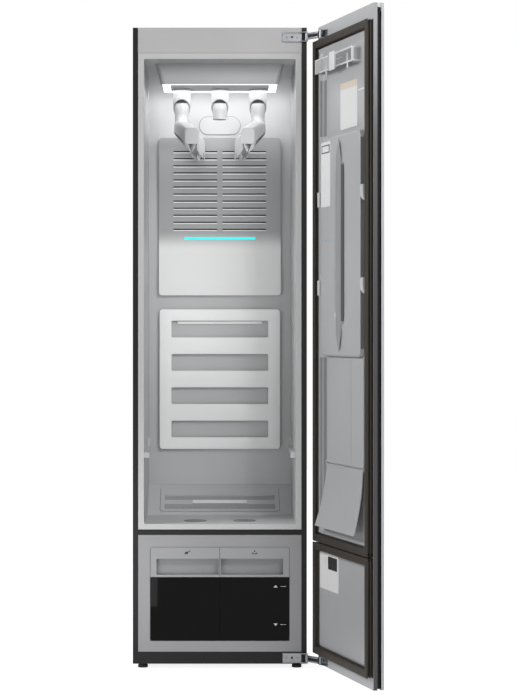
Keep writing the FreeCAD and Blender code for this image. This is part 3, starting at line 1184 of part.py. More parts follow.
def control_board():
    """The board on four posts over the ceiling, with its larger components."""
    half = BOARD_WIDTH / 2
    low = CEILING_TOP + BOARD_STAND_OFF
    high = low + BOARD_THICKNESS
    board = block(-half, half, BOARD_Y, BOARD_Y + BOARD_DEPTH, low, high)
    parts = [board]
    inset = BOARD_POST_INSET
    back = BOARD_Y + BOARD_DEPTH
    for x in (-half + inset, half - inset):
        for y in (BOARD_Y + inset, CAVITY_BACK_Y - inset):
            parts.append(rod(BOARD_POST_RADIUS, V(x, y, CEILING_TOP), V(x, y, low)))
    unit = BOARD_DEPTH / 6
    parts.append(block(-half + unit, -half + 3 * unit, BOARD_Y + unit, back - 2 * unit, high, high + unit))
    parts.append(block(0, 2 * unit, BOARD_Y + unit, BOARD_Y + 3 * unit, high, high + unit / 3))
    for i in range(3):
        x = half - (2 * i + 2) * unit / 1.5
        parts.append(rod(unit / 2, V(x, back - 2 * unit, high), V(x, back - 2 * unit, high + 1.5 * unit)))
    return fused(*parts)


def power_inlet():
    """A socket block through the back panel, with a flange outside it."""
    outer = DEPTH - SHEET
    half_w, half_h = INLET_WIDTH / 2, INLET_HEIGHT / 2
    body = block(INLET_X - half_w, INLET_X + half_w, outer - INLET_DEPTH, outer,
                 INLET_Z - half_h, INLET_Z + half_h)
    flange = block(INLET_X - half_w - INLET_FLANGE, INLET_X + half_w + INLET_FLANGE,
                   outer, outer + INLET_FLANGE_THICKNESS,
                   INLET_Z - half_h - INLET_FLANGE, INLET_Z + half_h + INLET_FLANGE)
    face = outer + INLET_FLANGE_THICKNESS
    socket = block(INLET_X - INLET_SOCKET_WIDTH / 2, INLET_X + INLET_SOCKET_WIDTH / 2,
                   face - INLET_SOCKET_DEPTH, face,
                   INLET_Z - INLET_SOCKET_HEIGHT / 2, INLET_Z + INLET_SOCKET_HEIGHT / 2)
    return fused(body, flange).cut(socket)


def save_machine():
    save("steam_generator", *steam_generator())
    save("steam_hose", steam_hose())
    save("compressor", compressor())
    save("heat_exchanger", heat_exchanger())
    save("control_board", control_board())
    save("power_inlet", power_inlet())


# ---- fans
def blower_case():
    """The plenum over the three ports, and the round case on top of it."""
    wall = FAN_CASE_WALL
    y0, y1 = PORT_Y - PLENUM_DEPTH / 2, PORT_Y + PLENUM_DEPTH / 2
    plenum = block(-PLENUM_HALF, PLENUM_HALF, y0, y1, CEILING_TOP, PLENUM_TOP)
    room = block(-PLENUM_HALF + wall, PLENUM_HALF - wall, y0 + wall, y1 - wall,
                 CEILING_TOP, PLENUM_TOP - wall)
    can = rod(BLOWER_RADIUS, V(0, PORT_Y, PLENUM_TOP), V(0, PORT_Y, BLOWER_TOP))
    inside = rod(BLOWER_RADIUS - wall, V(0, PORT_Y, PLENUM_TOP + wall), V(0, PORT_Y, BLOWER_TOP - wall))
    mouth = rod(PLENUM_DEPTH / 2 - 2 * wall, V(0, PORT_Y, CEILING_TOP + wall),
                V(0, PORT_Y, PLENUM_TOP + 2 * wall))
    shaft_hole = rod(SHAFT_RADIUS + FIT, V(0, PORT_Y, BLOWER_TOP - 2 * wall),
                     V(0, PORT_Y, BLOWER_TOP + wall))
    inlet = tube(BLOWER_INLET_RADIUS, BLOWER_MOTOR_RADIUS + 2 * wall,
                 V(0, PORT_Y, BLOWER_TOP - 2 * wall), V(0, PORT_Y, BLOWER_TOP + wall))
    spokes = [block(-BLOWER_INLET_RADIUS, BLOWER_INLET_RADIUS, PORT_Y - 2 * wall, PORT_Y + 2 * wall,
                    BLOWER_TOP - 2 * wall, BLOWER_TOP + wall),
              block(-2 * wall, 2 * wall, PORT_Y - BLOWER_INLET_RADIUS, PORT_Y + BLOWER_INLET_RADIUS,
                    BLOWER_TOP - 2 * wall, BLOWER_TOP + wall)]
    inlet = inlet.cut(Part.makeCompound(spokes))
    return fused(plenum, can).cut(Part.makeCompound([room, inside, mouth, shaft_hole, inlet]))


def fan_shroud():
    """The round case behind the grille's air hole, closed at its back around the motor."""
    wall = FAN_CASE_WALL
    front, back = LINER_BACK_Y, FAN_CASE_BACK_Y
    can = rod(FAN_CASE_RADIUS, V(0, front, FAN_Z), V(0, back, FAN_Z))
    inside = rod(FAN_CASE_RADIUS - wall, V(0, front - wall, FAN_Z), V(0, back - wall, FAN_Z))
    shaft_hole = rod(SHAFT_RADIUS + FIT, V(0, back - 2 * wall, FAN_Z), V(0, back + wall, FAN_Z))
    return can.cut(Part.makeCompound([inside, shaft_hole]))


def fan_motors():
    """The blower's flat motor and the rear fan's motor, each with its shaft."""
    low = BLOWER_TOP
    blower = rod(BLOWER_MOTOR_RADIUS, V(0, PORT_Y, low), V(0, PORT_Y, low + BLOWER_MOTOR_HEIGHT))
    shaft = rod(SHAFT_RADIUS, V(0, PORT_Y, low - BLOWER_HEIGHT + 2 * FAN_CASE_WALL), V(0, PORT_Y, low))
    back = FAN_CASE_BACK_Y
    fan = rod(FAN_MOTOR_RADIUS, V(0, back, FAN_Z), V(0, back + FAN_MOTOR_DEPTH, FAN_Z))
    fan_shaft = rod(SHAFT_RADIUS, V(0, LINER_BACK_Y + FAN_CASE_WALL, FAN_Z), V(0, back, FAN_Z))
    return [fused(blower, shaft), fused(fan, fan_shaft)]


def fan_wheel(radius, height):
    """A wheel of forward blades about +Z, from Z = 0: plate, hub, blades and top ring."""
    plate = rod(radius, V(0, 0, 0), V(0, 0, WHEEL_PLATE))
    hub = rod(HUB_RADIUS, V(0, 0, 0), V(0, 0, height))
    ring = tube(radius, radius - WHEEL_BLADE_DEPTH, V(0, 0, height - WHEEL_PLATE), V(0, 0, height))
    blades = []
    for i in range(WHEEL_BLADES):
        blade = block(radius - WHEEL_BLADE_DEPTH + WHEEL_BLADE, radius - WHEEL_BLADE,
                      -WHEEL_BLADE / 2, WHEEL_BLADE / 2, WHEEL_PLATE / 2, height - WHEEL_PLATE / 2)
        blade.rotate(V(0, 0, 0), UP, i * 360 / WHEEL_BLADES)
        blades.append(blade)
    wheel = fused(plate, hub, ring, *blades)
    return wheel.cut(rod(SHAFT_RADIUS + RUNNING, V(0, 0, -height), V(0, 0, 2 * height)))


def save_fans():
    save("fan_cases", blower_case(), fan_shroud())
    save("fan_motors", *fan_motors())
    blower = fan_wheel(BLOWER_WHEEL_RADIUS, BLOWER_WHEEL_HEIGHT)
    blower.translate(V(0, PORT_Y, (PLENUM_TOP + BLOWER_TOP - BLOWER_WHEEL_HEIGHT) / 2))
    save("blower_wheel", blower)
    wheel = fan_wheel(FAN_WHEEL_RADIUS, FAN_WHEEL_DEPTH)
    wheel.rotate(V(0, 0, 0), ALONG_X, -90)
    wheel.translate(V(0, (LINER_BACK_Y + FAN_CASE_BACK_Y - FAN_WHEEL_DEPTH) / 2, FAN_Z))
    save("fan_wheel", wheel)


# ---- door placement
def door_block(w0, w1, n0, n1, z0, z1):
    """A block in door sizes, in the closed place."""
    return block(HINGE_SIDE_X - w1, HINGE_SIDE_X - w0, n0 - DOOR_GAP, n1 - DOOR_GAP, z0, z1)


def door_point(w, n, z):
    return V(HINGE_SIDE_X - w, n - DOOR_GAP, z)


def door_opened(shape):
    """Swings a closed door piece to its resting place."""
    shape = shape.copy()
    shape.rotate(DOOR_PIN_CLOSED, UP, DOOR_OPENING)
    shape.translate(DOOR_PIN_OPEN - DOOR_PIN_CLOSED)
    return shape


def save_on_door(name, *shapes):
    save(name, *[door_opened(solid) for shape in shapes for solid in shape.Solids])


# ---- hinges
def hinge_plate(z0):
    """A channel on the cabinet's front whose two flanges reach out to hold the pin."""
    z1 = z0 + PLATE_HEIGHT
    base = block(PLATE_INNER_X, PLATE_OUTER_X, -PLATE_BASE, 0, z0, z1)
    pieces = [base]
    for low in (z0, z1 - PLATE_FLANGE):
        outline = [V(PLATE_INNER_X, 0, low), V(PLATE_INNER_X, -PLATE_RIM, low),
                   V(PLATE_OUTER_X - EYE_RADIUS * 2, -PLATE_RIM, low),
                   V(HINGE_PIN_X, HINGE_PIN_Y - EYE_RADIUS + TIGHT, low),
                   V(HINGE_PIN_X, HINGE_PIN_Y + EYE_RADIUS, low),
                   V(PLATE_OUTER_X, 0, low)]
        pieces.append(prism(outline, V(0, 0, PLATE_FLANGE)))
        center = V(HINGE_PIN_X, HINGE_PIN_Y, low)
        pieces.append(rod(EYE_RADIUS, center, center + V(0, 0, PLATE_FLANGE)))
    pieces.append(block(PLATE_INNER_X, PLATE_INNER_X + PLATE_BASE, -PLATE_RIM, 0, z0, z1))
    pieces.append(rod(PIN_RADIUS, V(HINGE_PIN_X, HINGE_PIN_Y, z0), V(HINGE_PIN_X, HINGE_PIN_Y, z1)))
    return fused(*pieces)


def arm_heights(z0):
    """Low and high Z of the arm, inside the plate's flanges and the door's ears."""
    step = PLATE_FLANGE + EAR_THICKNESS + 2 * FIT
    return z0 + step, z0 + PLATE_HEIGHT - step


def hinge_arm(z0):
    """An arm from the cabinet pin to the door pin, in the closed place."""
    low, high = arm_heights(z0)
    a = V(CABINET_PIN.x, CABINET_PIN.y, low)
    b = V(DOOR_PIN_CLOSED.x, DOOR_PIN_CLOSED.y, low)
    rise = V(0, 0, high - low)
    along = (b - a).normalize()
    across = V(-along.y, along.x, 0) * (ARM_WEB / 2)
    web = prism([a + across, b + across, b - across, a - across], rise)
    arm = fused(web, rod(EYE_RADIUS, a, a + rise), rod(EYE_RADIUS, b, b + rise))
    bores = [rod(PIN_RADIUS + RUNNING, point - rise, point + rise * 2) for point in (a, b)]
    arm = arm.cut(Part.makeCompound(bores))
    arm.rotate(CABINET_PIN, UP, ARM_OPENING)
    return arm


def hinge_wing(z0):
    """The wing screwed to the door's tray, with two ears and the door pin, closed."""
    low, high = arm_heights(z0)
    ear_low = low - FIT - EAR_THICKNESS
    ear_high = high + FIT
    pieces = [door_block(WING_START_W, WING_END_W, 0, WING_THICKNESS, ear_low, ear_high + EAR_THICKNESS)]
    for z in (ear_low, ear_high):
        rise = V(0, 0, EAR_THICKNESS)
        outline = [door_point(DOOR_PIN_W - EYE_RADIUS, DOOR_PIN_N, z),
                   door_point(DOOR_PIN_W + EYE_RADIUS, DOOR_PIN_N, z),
                   door_point(WING_END_W, WING_THICKNESS, z), door_point(WING_END_W, 0, z),
                   door_point(WING_START_W, 0, z), door_point(WING_START_W, WING_THICKNESS, z)]
        pieces.append(prism(outline, rise))
        center = door_point(DOOR_PIN_W, DOOR_PIN_N, z)
        pieces.append(rod(EYE_RADIUS, center, center + rise))
    pieces.append(rod(PIN_RADIUS, door_point(DOOR_PIN_W, DOOR_PIN_N, ear_low),
                      door_point(DOOR_PIN_W, DOOR_PIN_N, ear_high + EAR_THICKNESS)))
    return fused(*pieces)


def save_hinges():
    heights = (UPPER_HINGE_Z, LOWER_HINGE_Z)
    save("hinge_plates", *[hinge_plate(z) for z in heights])
    save("hinge_arms", *[hinge_arm(z) for z in heights])
    save_on_door("hinge_wings", *[hinge_wing(z) for z in heights])


# ---- door
def door_pan(n0, n1, open_from, open_to):
    """A steel pan between two depths, with a folded rim round its open side."""
    pan = door_block(0, DOOR_WIDTH, n0, n1, DOOR_BOTTOM, DOOR_TOP)
    room = door_block(SHEET, DOOR_WIDTH - SHEET, n0 + SHEET, n1 - SHEET,
                      DOOR_BOTTOM + SHEET, DOOR_TOP - SHEET)
    mouth = door_block(DOOR_FLANGE, DOOR_WIDTH - DOOR_FLANGE, open_from, open_to,
                       DOOR_BOTTOM + DOOR_FLANGE, DOOR_TOP - DOOR_FLANGE)
    return pan.cut(Part.makeCompound([room, mouth]))


def door_skin():
    """The pan that is the door's front."""
    return door_pan(SKIN_FACE_N, CHANNEL_BACK_N, CHANNEL_BACK_N - 2 * SHEET, CHANNEL_BACK_N + SHEET)


def door_channel():
    """The black frame between skin and tray, set back along the free edge as a grip."""
    w0, w1 = CHANNEL_INSET, DOOR_WIDTH - CHANNEL_GRIP_INSET
    outer = door_block(w0, w1, CHANNEL_BACK_N, TRAY_BACK_N, CHANNEL_BOTTOM, CHANNEL_TOP)
    inner = door_block(w0 + CHANNEL_BAR, w1 - CHANNEL_BAR, CHANNEL_BACK_N - 1, TRAY_BACK_N + 1,
                       CHANNEL_BOTTOM + CHANNEL_BAR, CHANNEL_TOP - CHANNEL_BAR)
    return outer.cut(inner)


def door_tray():
    """The back pan, whose face carries everything inside the door."""
    return door_pan(TRAY_BACK_N, 0, TRAY_BACK_N - SHEET, TRAY_BACK_N + 2 * SHEET)


def gasket(z0, z1):
    """A ring of gasket with two grooves round its outside."""
    w0, w1 = GASKET_INSET, DOOR_WIDTH - GASKET_INSET
    band = GASKET_BAND
    groove = GASKET_GROOVE
    ring = door_block(w0, w1, 0, GASKET_HEIGHT, z0, z1)
    ring = ring.cut(door_block(w0 + band, w1 - band, -1, GASKET_HEIGHT + 1, z0 + band, z1 - band))
    for share in (1 / 3, 2 / 3):
        n = GASKET_HEIGHT * share
        cutter = door_block(w0 - 1, w1 + 1, n, n + groove, z0 - 1, z1 + 1)
        core = door_block(w0 + groove, w1 - groove, n - 1, n + groove + 1, z0 + groove, z1 - groove)
        ring = ring.cut(cutter.cut(core))
    return ring


def gasket_rings():
    middle = GASKET_SPLIT
    return [gasket(GASKET_BOTTOM, middle - GASKET_GAP / 2), gasket(middle + GASKET_GAP / 2, GASKET_TOP)]


def liner_panel(z0, z1, ridge):
    """A formed plastic sheet inside a gasket ring, with an upright ridge where asked."""
    w0 = GASKET_INSET + GASKET_BAND + LINER_MARGIN
    w1 = DOOR_WIDTH - w0
    panel = door_block(w0, w1, 0, LINER_HEIGHT, z0, z1)
    panel = panel.cut(door_block(w0 + LINER_SHEET, w1 - LINER_SHEET, -1, LINER_HEIGHT - LINER_SHEET,
                                 z0 + LINER_SHEET, z1 - LINER_SHEET))
    if not ridge:
        return panel
    inset = LINER_RIDGE_W - w0
    top = LINER_HEIGHT + LINER_RIDGE_RISE
    raised = door_block(w0 + inset, w1 - inset, LINER_HEIGHT - LINER_SHEET / 2, top, z0 + inset, z1 - inset)
    inner = inset + LINER_RIDGE_WIDTH
    raised = raised.cut(door_block(w0 + inner, w1 - inner, 0, top + 1, z0 + inner, z1 - inner))
    return fused(panel, raised)


def door_liner():
    edge = GASKET_BAND + LINER_MARGIN
    lower = liner_panel(GASKET_BOTTOM + edge, GASKET_SPLIT - GASKET_GAP / 2 - edge, False)
    upper = liner_panel(GASKET_SPLIT + GASKET_GAP / 2 + edge, GASKET_TOP - edge, True)
    return [lower, upper]


def trouser_bar():
    """A bracket standing off the liner, with two crosses on its face and a clip round it."""
    n0, n1 = BAR_FACE_N, BAR_FACE_N + BAR_THICKNESS
    face = door_block(BAR_START_W, BAR_END_W, n0, n1, BAR_BOTTOM, BAR_TOP)
    near = door_block(BAR_START_W, BAR_START_W + BAR_NEAR_ARM, LINER_HEIGHT, n1, BAR_BOTTOM, BAR_TOP)
    far = door_block(BAR_END_W - BAR_ARM_WIDTH, BAR_END_W, LINER_HEIGHT, n1, BAR_BOTTOM, BAR_TOP)
    pocket = door_block(BAR_END_W - BAR_ARM_WIDTH + BAR_THICKNESS, BAR_END_W - BAR_THICKNESS,
                        LINER_HEIGHT - 1, n0, BAR_BOTTOM + BAR_THICKNESS, BAR_TOP - BAR_THICKNESS)
    pieces = [face, near, far.cut(pocket)]
    middle = (BAR_BOTTOM + BAR_TOP) / 2
    for w in CROSS_W:
        pieces.append(door_block(w - CROSS_WIDTH / 2, w + CROSS_WIDTH / 2, n1, n1 + CROSS_RISE,
                                 BAR_BOTTOM, BAR_TOP))
        pieces.append(door_block(w - CROSS_LENGTH / 2, w + CROSS_LENGTH / 2, n1, n1 + CROSS_RISE,
                                 middle - CROSS_WIDTH / 2, middle + CROSS_WIDTH / 2))
    wrap = CLIP_WRAP
    clip = door_block(CLIP_W - CLIP_PIECE_WIDTH / 2, CLIP_W + CLIP_PIECE_WIDTH / 2, n0 - wrap, n1 + wrap,
                      BAR_BOTTOM - CLIP_OVERHANG, BAR_TOP + CLIP_OVERHANG)
    return fused(*pieces, clip)


def press_board():
    """A hollow-backed board with a raised ridge, a shallow groove and two hinge knuckles."""
    board = door_block(BOARD_START_W, BOARD_END_W, PRESS_BACK_N, PRESS_FACE_N, PRESS_BOTTOM, PRESS_TOP)
    board = rounded(board, PRESS_CORNER, ALONG_Y)
    wall = PRESS_WALL
    hollow = door_block(BOARD_START_W + wall, BOARD_END_W - wall, PRESS_BACK_N - 1, PRESS_FACE_N - wall,
                        PRESS_BOTTOM + wall, PRESS_TOP - wall)
    board = board.cut(rounded(hollow, PRESS_CORNER - wall, ALONG_Y))
    groove = door_block(GROOVE_START_W, GROOVE_END_W, PRESS_FACE_N - GROOVE_DEPTH, PRESS_FACE_N + 1,
                        GROOVE_BOTTOM, GROOVE_TOP)
    board = board.cut(rounded(groove, (GROOVE_END_W - GROOVE_START_W) / 2 - TIGHT, ALONG_Y))
    rise = PRESS_FACE_N + RIDGE_RISE
    section = [door_point(RIDGE_W - RIDGE_HALF, PRESS_FACE_N - wall / 2, 0),
               door_point(RIDGE_W, rise, 0), door_point(RIDGE_W + RIDGE_HALF, PRESS_FACE_N - wall / 2, 0)]
    ridge = prism(section, V(0, 0, PRESS_TOP - PRESS_BOTTOM - 2 * RIDGE_END))
    ridge.translate(V(0, 0, PRESS_BOTTOM + RIDGE_END))
    pieces = [board, ridge]
    pin_start = door_point(PRESS_PIN_W, PRESS_PIN_N, 0)
    for low in TAB_BOTTOMS:
        z0 = low + TAB_HEIGHT + FIT
        z1 = z0 + PRESS_KNUCKLE_HEIGHT
        pieces.append(rod(PRESS_KNUCKLE_RADIUS, pin_start + V(0, 0, z0), pin_start + V(0, 0, z1)))
        pieces.append(door_block(PRESS_PIN_W, BOARD_START_W + wall, PRESS_PIN_N - wall / 2,
                                 PRESS_PIN_N + wall / 2, z0, z1))
    bores = [rod(PRESS_PIN_RADIUS + RUNNING, pin_start + V(0, 0, low + TAB_HEIGHT),
                 pin_start + V(0, 0, low + TAB_HEIGHT + PRESS_KNUCKLE_HEIGHT + 1)) for low in TAB_BOTTOMS]
    return fused(*pieces).cut(Part.makeCompound(bores))


def board_tabs():
    """Two hinge tabs with pins on one side of the press board, two latch tabs on the other."""
    solids = []
    for low in TAB_BOTTOMS:
        high = low + TAB_HEIGHT
        hinge = door_block(TAB_HINGE_START_W, TAB_HINGE_END_W, LINER_HEIGHT, TAB_HINGE_N, low, high)
        pin = door_point(PRESS_PIN_W, PRESS_PIN_N, high)
        pin = rod(PRESS_PIN_RADIUS, pin, pin + V(0, 0, PRESS_KNUCKLE_HEIGHT))
        solids.append(fused(rounded(hinge, TAB_LIP, ALONG_Y), pin))
        latch = door_block(TAB_LATCH_START_W, TAB_LATCH_END_W, LINER_HEIGHT, TAB_LATCH_N, low, high)
        notch = door_block(TAB_LATCH_START_W - 1, TAB_LATCH_START_W + TAB_LIP, LINER_HEIGHT - 1,
                           TAB_LATCH_N - TAB_LIP, low - 1, high + 1)
        solids.append(rounded(latch, TAB_LIP, ALONG_Y).cut(notch))
    return solids


def lower_cover():
    """The cover under the press board, with a seam in its face and the flap's two lugs."""
    top = COVER_TOP
    face_n = LINER_HEIGHT + COVER_THICKNESS
    cover = door_block(COVER_START_W, COVER_END_W, LINER_HEIGHT, face_n, COVER_BOTTOM, top)
    seam = door_block(COVER_SEAM_W, COVER_SEAM_W + COVER_SEAM, face_n - COVER_THICKNESS / 2, face_n + 1,
                      COVER_BOTTOM - 1, top + 1)
    pieces = [cover.cut(seam)]
    reach = FLAP_PIN_N + FLAP_KNUCKLE_RADIUS
    low = FLAP_PIN_Z - FLAP_KNUCKLE_RADIUS
    start, end = FLAP_TOP_START_W - LUG_GAP, FLAP_TOP_END_W + LUG_GAP
    for w in (start - LUG_WIDTH, end):
        pieces.append(door_block(w, w + LUG_WIDTH, LINER_HEIGHT, reach, low, COVER_BOTTOM + LUG_WIDTH))
    pieces.append(door_block(start - LUG_WIDTH, end + LUG_WIDTH, LINER_HEIGHT, face_n,
                             COVER_BOTTOM, COVER_BOTTOM + LUG_WIDTH))
    pieces.append(rod(FLAP_PIN_RADIUS, door_point(start - LUG_WIDTH, FLAP_PIN_N, FLAP_PIN_Z),
                      door_point(end + LUG_WIDTH, FLAP_PIN_N, FLAP_PIN_Z)))
    return fused(*pieces)


def hem_flap():
    """A curved flap hanging from its pin and flaring away from the door at its lower edge."""
    drop = FLAP_PIN_Z - FLAP_BOTTOM
    middle_n = FLAP_PIN_N + FLAP_FLARE / 4
    start = door_point(0, FLAP_PIN_N, FLAP_PIN_Z)
    bend = door_point(0, middle_n, FLAP_PIN_Z - drop / 2)
    end = door_point(0, FLAP_PIN_N + FLAP_FLARE, FLAP_BOTTOM)
    shift = V(0, FLAP_THICKNESS, 0)
    edges = [Part.Arc(start, bend, end).toShape(), Part.LineSegment(end, end + shift).toShape(),
             Part.Arc(end + shift, bend + shift, start + shift).toShape(),
             Part.LineSegment(start + shift, start).toShape()]
    sheet = Part.Face(Part.Wire(edges)).extrude(V(-DOOR_WIDTH, 0, 0))
    corners = [(FLAP_TOP_START_W, FLAP_PIN_Z + 1), (FLAP_TOP_END_W, FLAP_PIN_Z + 1),
               (FLAP_LOW_END_W, FLAP_BOTTOM - 1), (FLAP_LOW_START_W, FLAP_BOTTOM - 1)]
    outline = [door_point(w, 0, z) for w, z in corners]
    sheet = sheet.common(prism(outline, V(0, 2 * FLAP_FLARE, 0)))
    start = door_point(FLAP_TOP_START_W, FLAP_PIN_N, FLAP_PIN_Z)
    end = door_point(FLAP_TOP_END_W, FLAP_PIN_N, FLAP_PIN_Z)
    past = V(LUG_GAP, 0, 0)
    barrel = rod(FLAP_KNUCKLE_RADIUS, start, end)
    return fused(sheet, barrel).cut(rod(FLAP_PIN_RADIUS + RUNNING, start + past, end - past))


def save_door():
    save_on_door("door_skin", door_skin())
    save_on_door("door_channel", door_channel())
    save_on_door("door_tray", door_tray())
    save_on_door("door_gaskets", *gasket_rings())
    save_on_door("door_liner", *door_liner())
    save_on_door("trouser_bar", trouser_bar())
    save_on_door("press_board", press_board())
    save_on_door("board_tabs", *board_tabs())
    save_on_door("lower_cover", lower_cover())
    save_on_door("hem_flap", hem_flap())


def main():
    os.makedirs("parts", exist_ok=True)
    save_casing()
    save_cavity()
    save_hangers()
    save_wall_pieces()
    save_bay()
    save_machine()
    save_fans()
    save_hinges()
    save_door()


if __name__ == "__main__":
    main()
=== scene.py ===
"""Clothes care steam cabinet with its door open: finishes, fine pieces and a plain studio.

The CAD part's own frame holds throughout: +Z up, +X right, +Y towards the back, front face
at Y = 0. Sizes below are in millimetres. Pieces on the door are drawn in door sizes: w from
the hinge side, n from the tray's face towards the garments, and are put on the open door.
"""

import math

import bmesh
import bpy
from bpy.props import FloatProperty, FloatVectorProperty, PointerProperty
from mathutils import Matrix, Vector


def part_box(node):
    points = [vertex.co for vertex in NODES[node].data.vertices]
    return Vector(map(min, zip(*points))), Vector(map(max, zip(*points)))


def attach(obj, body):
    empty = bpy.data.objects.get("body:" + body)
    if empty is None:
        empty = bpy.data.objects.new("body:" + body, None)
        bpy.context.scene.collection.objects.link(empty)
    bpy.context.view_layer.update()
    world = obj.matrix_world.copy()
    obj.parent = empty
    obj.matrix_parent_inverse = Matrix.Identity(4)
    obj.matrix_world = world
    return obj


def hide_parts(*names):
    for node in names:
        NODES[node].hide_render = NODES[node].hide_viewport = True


bl_info = {
    "name": "Clothes Care Steam Cabinet",
    "version": (1, 0, 0),
    "blender": (4, 5, 0),
    "location": "3D View > Sidebar > Cabinet",
    "description": "Finishes, fine pieces and studio of a clothes care steam cabinet",
    "category": "Add Mesh",
}

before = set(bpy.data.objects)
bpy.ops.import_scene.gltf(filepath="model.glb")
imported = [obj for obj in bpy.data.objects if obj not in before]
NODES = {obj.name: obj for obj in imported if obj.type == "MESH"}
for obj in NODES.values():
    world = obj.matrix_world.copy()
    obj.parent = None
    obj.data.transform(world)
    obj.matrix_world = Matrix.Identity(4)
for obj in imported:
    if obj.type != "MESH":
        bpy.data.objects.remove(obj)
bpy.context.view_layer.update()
MM = 0.001

# A Mix node's sockets for colours, which it doesn't name apart from those for numbers.
FACTOR, COLOUR_A, COLOUR_B, COLOUR_OUT = 0, 6, 7, 2

# ---- sizes in millimetres, most of them the solids' own
CAVITY_BACK, CAVITY_BOTTOM = 455.0, 418.0
PORT_X, PORT_Y, PORT_PLATE_Z = 114.0, 245.0, 1699.0
HANGER_REACH, HANGER_HALF, HANGER_CURVE, HANGER_LEAN = 175.0, 22.0, 41.0, math.radians(-2.6)
HANGER_CROWN, HANGER_FLANK, HANGER_SHOULDER, HANGER_TAPER = 1602.0, 1580.0, 20.4, 154.6
HANGER_OUTER_FLANK, HANGER_TIP_ROUND, FIN_FOOT = 1566.0, 3.0, 1497.0
SERVICE_COVER, COVER_CORNER = (-63.0, 63.0, 1582.5, 1637.5), 27.4
LINT_FILTER, FILTER_CORNER = (-181.0, 181.0, 20.0, 148.0), 9.0
GRILLE_TOP, GRILLE_FACE_Y, VALLEY_Y, LIGHT_BAR_Z = 1571.0, 436.0, 443.0, 1261.0
LOUVRE_TOP, LOUVRE_PITCH, LOUVRE_ROWS, LOUVRE_INNER, LOUVRE_OUTER = 1528.0, 21.75, 12, 8.0, 143.0
RACK_HALF, RACK_BOTTOM, RACK_TOP, RACK_FACE_Y, RACK_BACK_Y = 186.0, 611.0, 1042.0, 436.0, 444.0
RACK_WINDOW_ZS, RACK_WINDOW_HALF, RACK_WINDOW_RISE = (980.7, 878.0, 775.3, 672.6), 149.0, 25.5
SLOPE, FLOOR_FLAT = math.radians(30), 311.0
DOOR_PIN_OPEN, DOOR_PIN_W, DOOR_PIN_N, DOOR_TURN = (287.477, -61.376), 60.0, 12.0, math.radians(104.5)
DOOR_BOTTOM, DOOR_TOP, DOOR_WIDTH, END_CAP = 17.0, 1850.0, 500.0, 12.0
CHANNEL_BACK, CHANNEL_FRONT, CHANNEL_END, CHANNEL_TOP = -21.8, -11.0, 491.0, 1829.0
BAY_HALF, BAY_BOTTOM, BAY_TOP, BAY_CORNER, TANK_SPLIT = 201.0, 81.0, 351.5, 8.0, 265.0
GASKET_BOTTOM, GASKET_TOP, GASKET_SPLIT, GASKET_GAP = 49.0, 1807.0, 370.5, 3.0
GASKET_INSET, GASKET_HEIGHT = 3.0, 18.6
HINGE_PLATE_ZS, HINGE_ARM_ZS = (32.5, 1822.5), (23.1, 1813.1)
LINER_START, LINER_END, LINER_BOTTOM, LINER_TOP = 25.0, 475.0, 397.0, 1782.0
LINER_HEIGHT, LINER_PANEL = 4.0, 5.6
PRESS_START, PRESS_END, PRESS_BOTTOM, PRESS_TOP, PRESS_CORNER = 76.0, 435.0, 904.0, 1520.0, 20.0
PRESS_BACK, PRESS_FACE, SPINE_W, SPINE_HALF = 4.6, 16.5, 250.0, 26.0
GROOVE_BOTTOM, GROOVE_TOP, GROOVE_HALF = 985.0, 1447.0, 50.0
BAR_START, BAR_END, BAR_BOTTOM, BAR_TOP, BAR_FACE, BAR_RIM = 75.0, 412.0, 1705.0, 1745.0, 31.3, 3.5
CLIP_ZS, CLIP_RISE, KNUCKLE_ZS = (1076.0, 1327.0), 43.0, (1119.3, 1370.3)


# ---- colour and nodes
def linear(hex_colour):
    """Linear RGB of an sRGB hex colour."""
    parts = [int(hex_colour[i:i + 2], 16) / 255 for i in (1, 3, 5)]
    return tuple(c / 12.92 if c <= 0.04045 else ((c + 0.055) / 1.055) ** 2.4 for c in parts)


def add(tree, kind, sockets=None, **settings):
    """Adds a shader node with its settings, its sockets set or linked."""
    made = tree.nodes.new("ShaderNode" + kind)
    for name, value in settings.items():
        setattr(made, name, value)
    for name, value in (sockets or {}).items():
        if isinstance(value, bpy.types.NodeSocket):
            tree.links.new(value, made.inputs[name])
        else:
            made.inputs[name].default_value = value
    return made


def colour(name, description, hex_colour):
    """A colour that a user may change."""
    return FloatVectorProperty(name=name, description=description, subtype="COLOR", size=3,
                               min=0, max=1, default=linear(hex_colour))


def length(name, description, millimetres):
    """A length that a user may change."""
    return FloatProperty(name=name, description=description, unit="LENGTH", min=0,
                         default=millimetres * MM)


class CabinetColours(bpy.types.PropertyGroup):
    """Colours of the cabinet's finishes"""
    casing: colour("Casing", "Roller-coated steel of the casing", "#0D0D0E")
    fascia: colour("Fascia", "Moulded fascia over the opening", "#ADADAD")
    cavity_frame: colour("Cavity frame", "Flange round the garment cavity", "#B8B8B8")
    bay_frame: colour("Bay frame", "Frame round the water tanks", "#89898B")
    liner: colour("Liner", "Walls of the garment cavity", "#B6B7B8")
    floor: colour("Cavity floor", "Moulded floor of the cavity", "#C6C7C8")
    hanger: colour("Hangers", "Air hangers, collars and nozzle", "#CCCCCD")
    # The grille's upper grey is painted shade and its lower grey is painted light from the cabinet lamp.
    grille_top: colour("Grille, upper", "Upper part of the grille panel", "#979899")
    grille_low: colour("Grille, lower", "Lower part of the grille panel", "#E4E4E4")
    rack: colour("Rack", "Storage rack", "#F3F3F3")
    tank: colour("Tanks", "Glossy tank bodies", "#030303")
    tank_front: colour("Tank fronts", "Grip fronts of the tanks", "#8B8D8E")
    door_skin: colour("Door skin", "Coated steel of the door's front", "#C3C4C6")
    door_inner: colour("Door inside", "Tray, liner and fittings of the door", "#BDBEC0")
    seal: colour("Seals", "Door seals", "#3B3631")
    light_bar: colour("Light bar", "Lens of the light bar", "#1CE6E8")


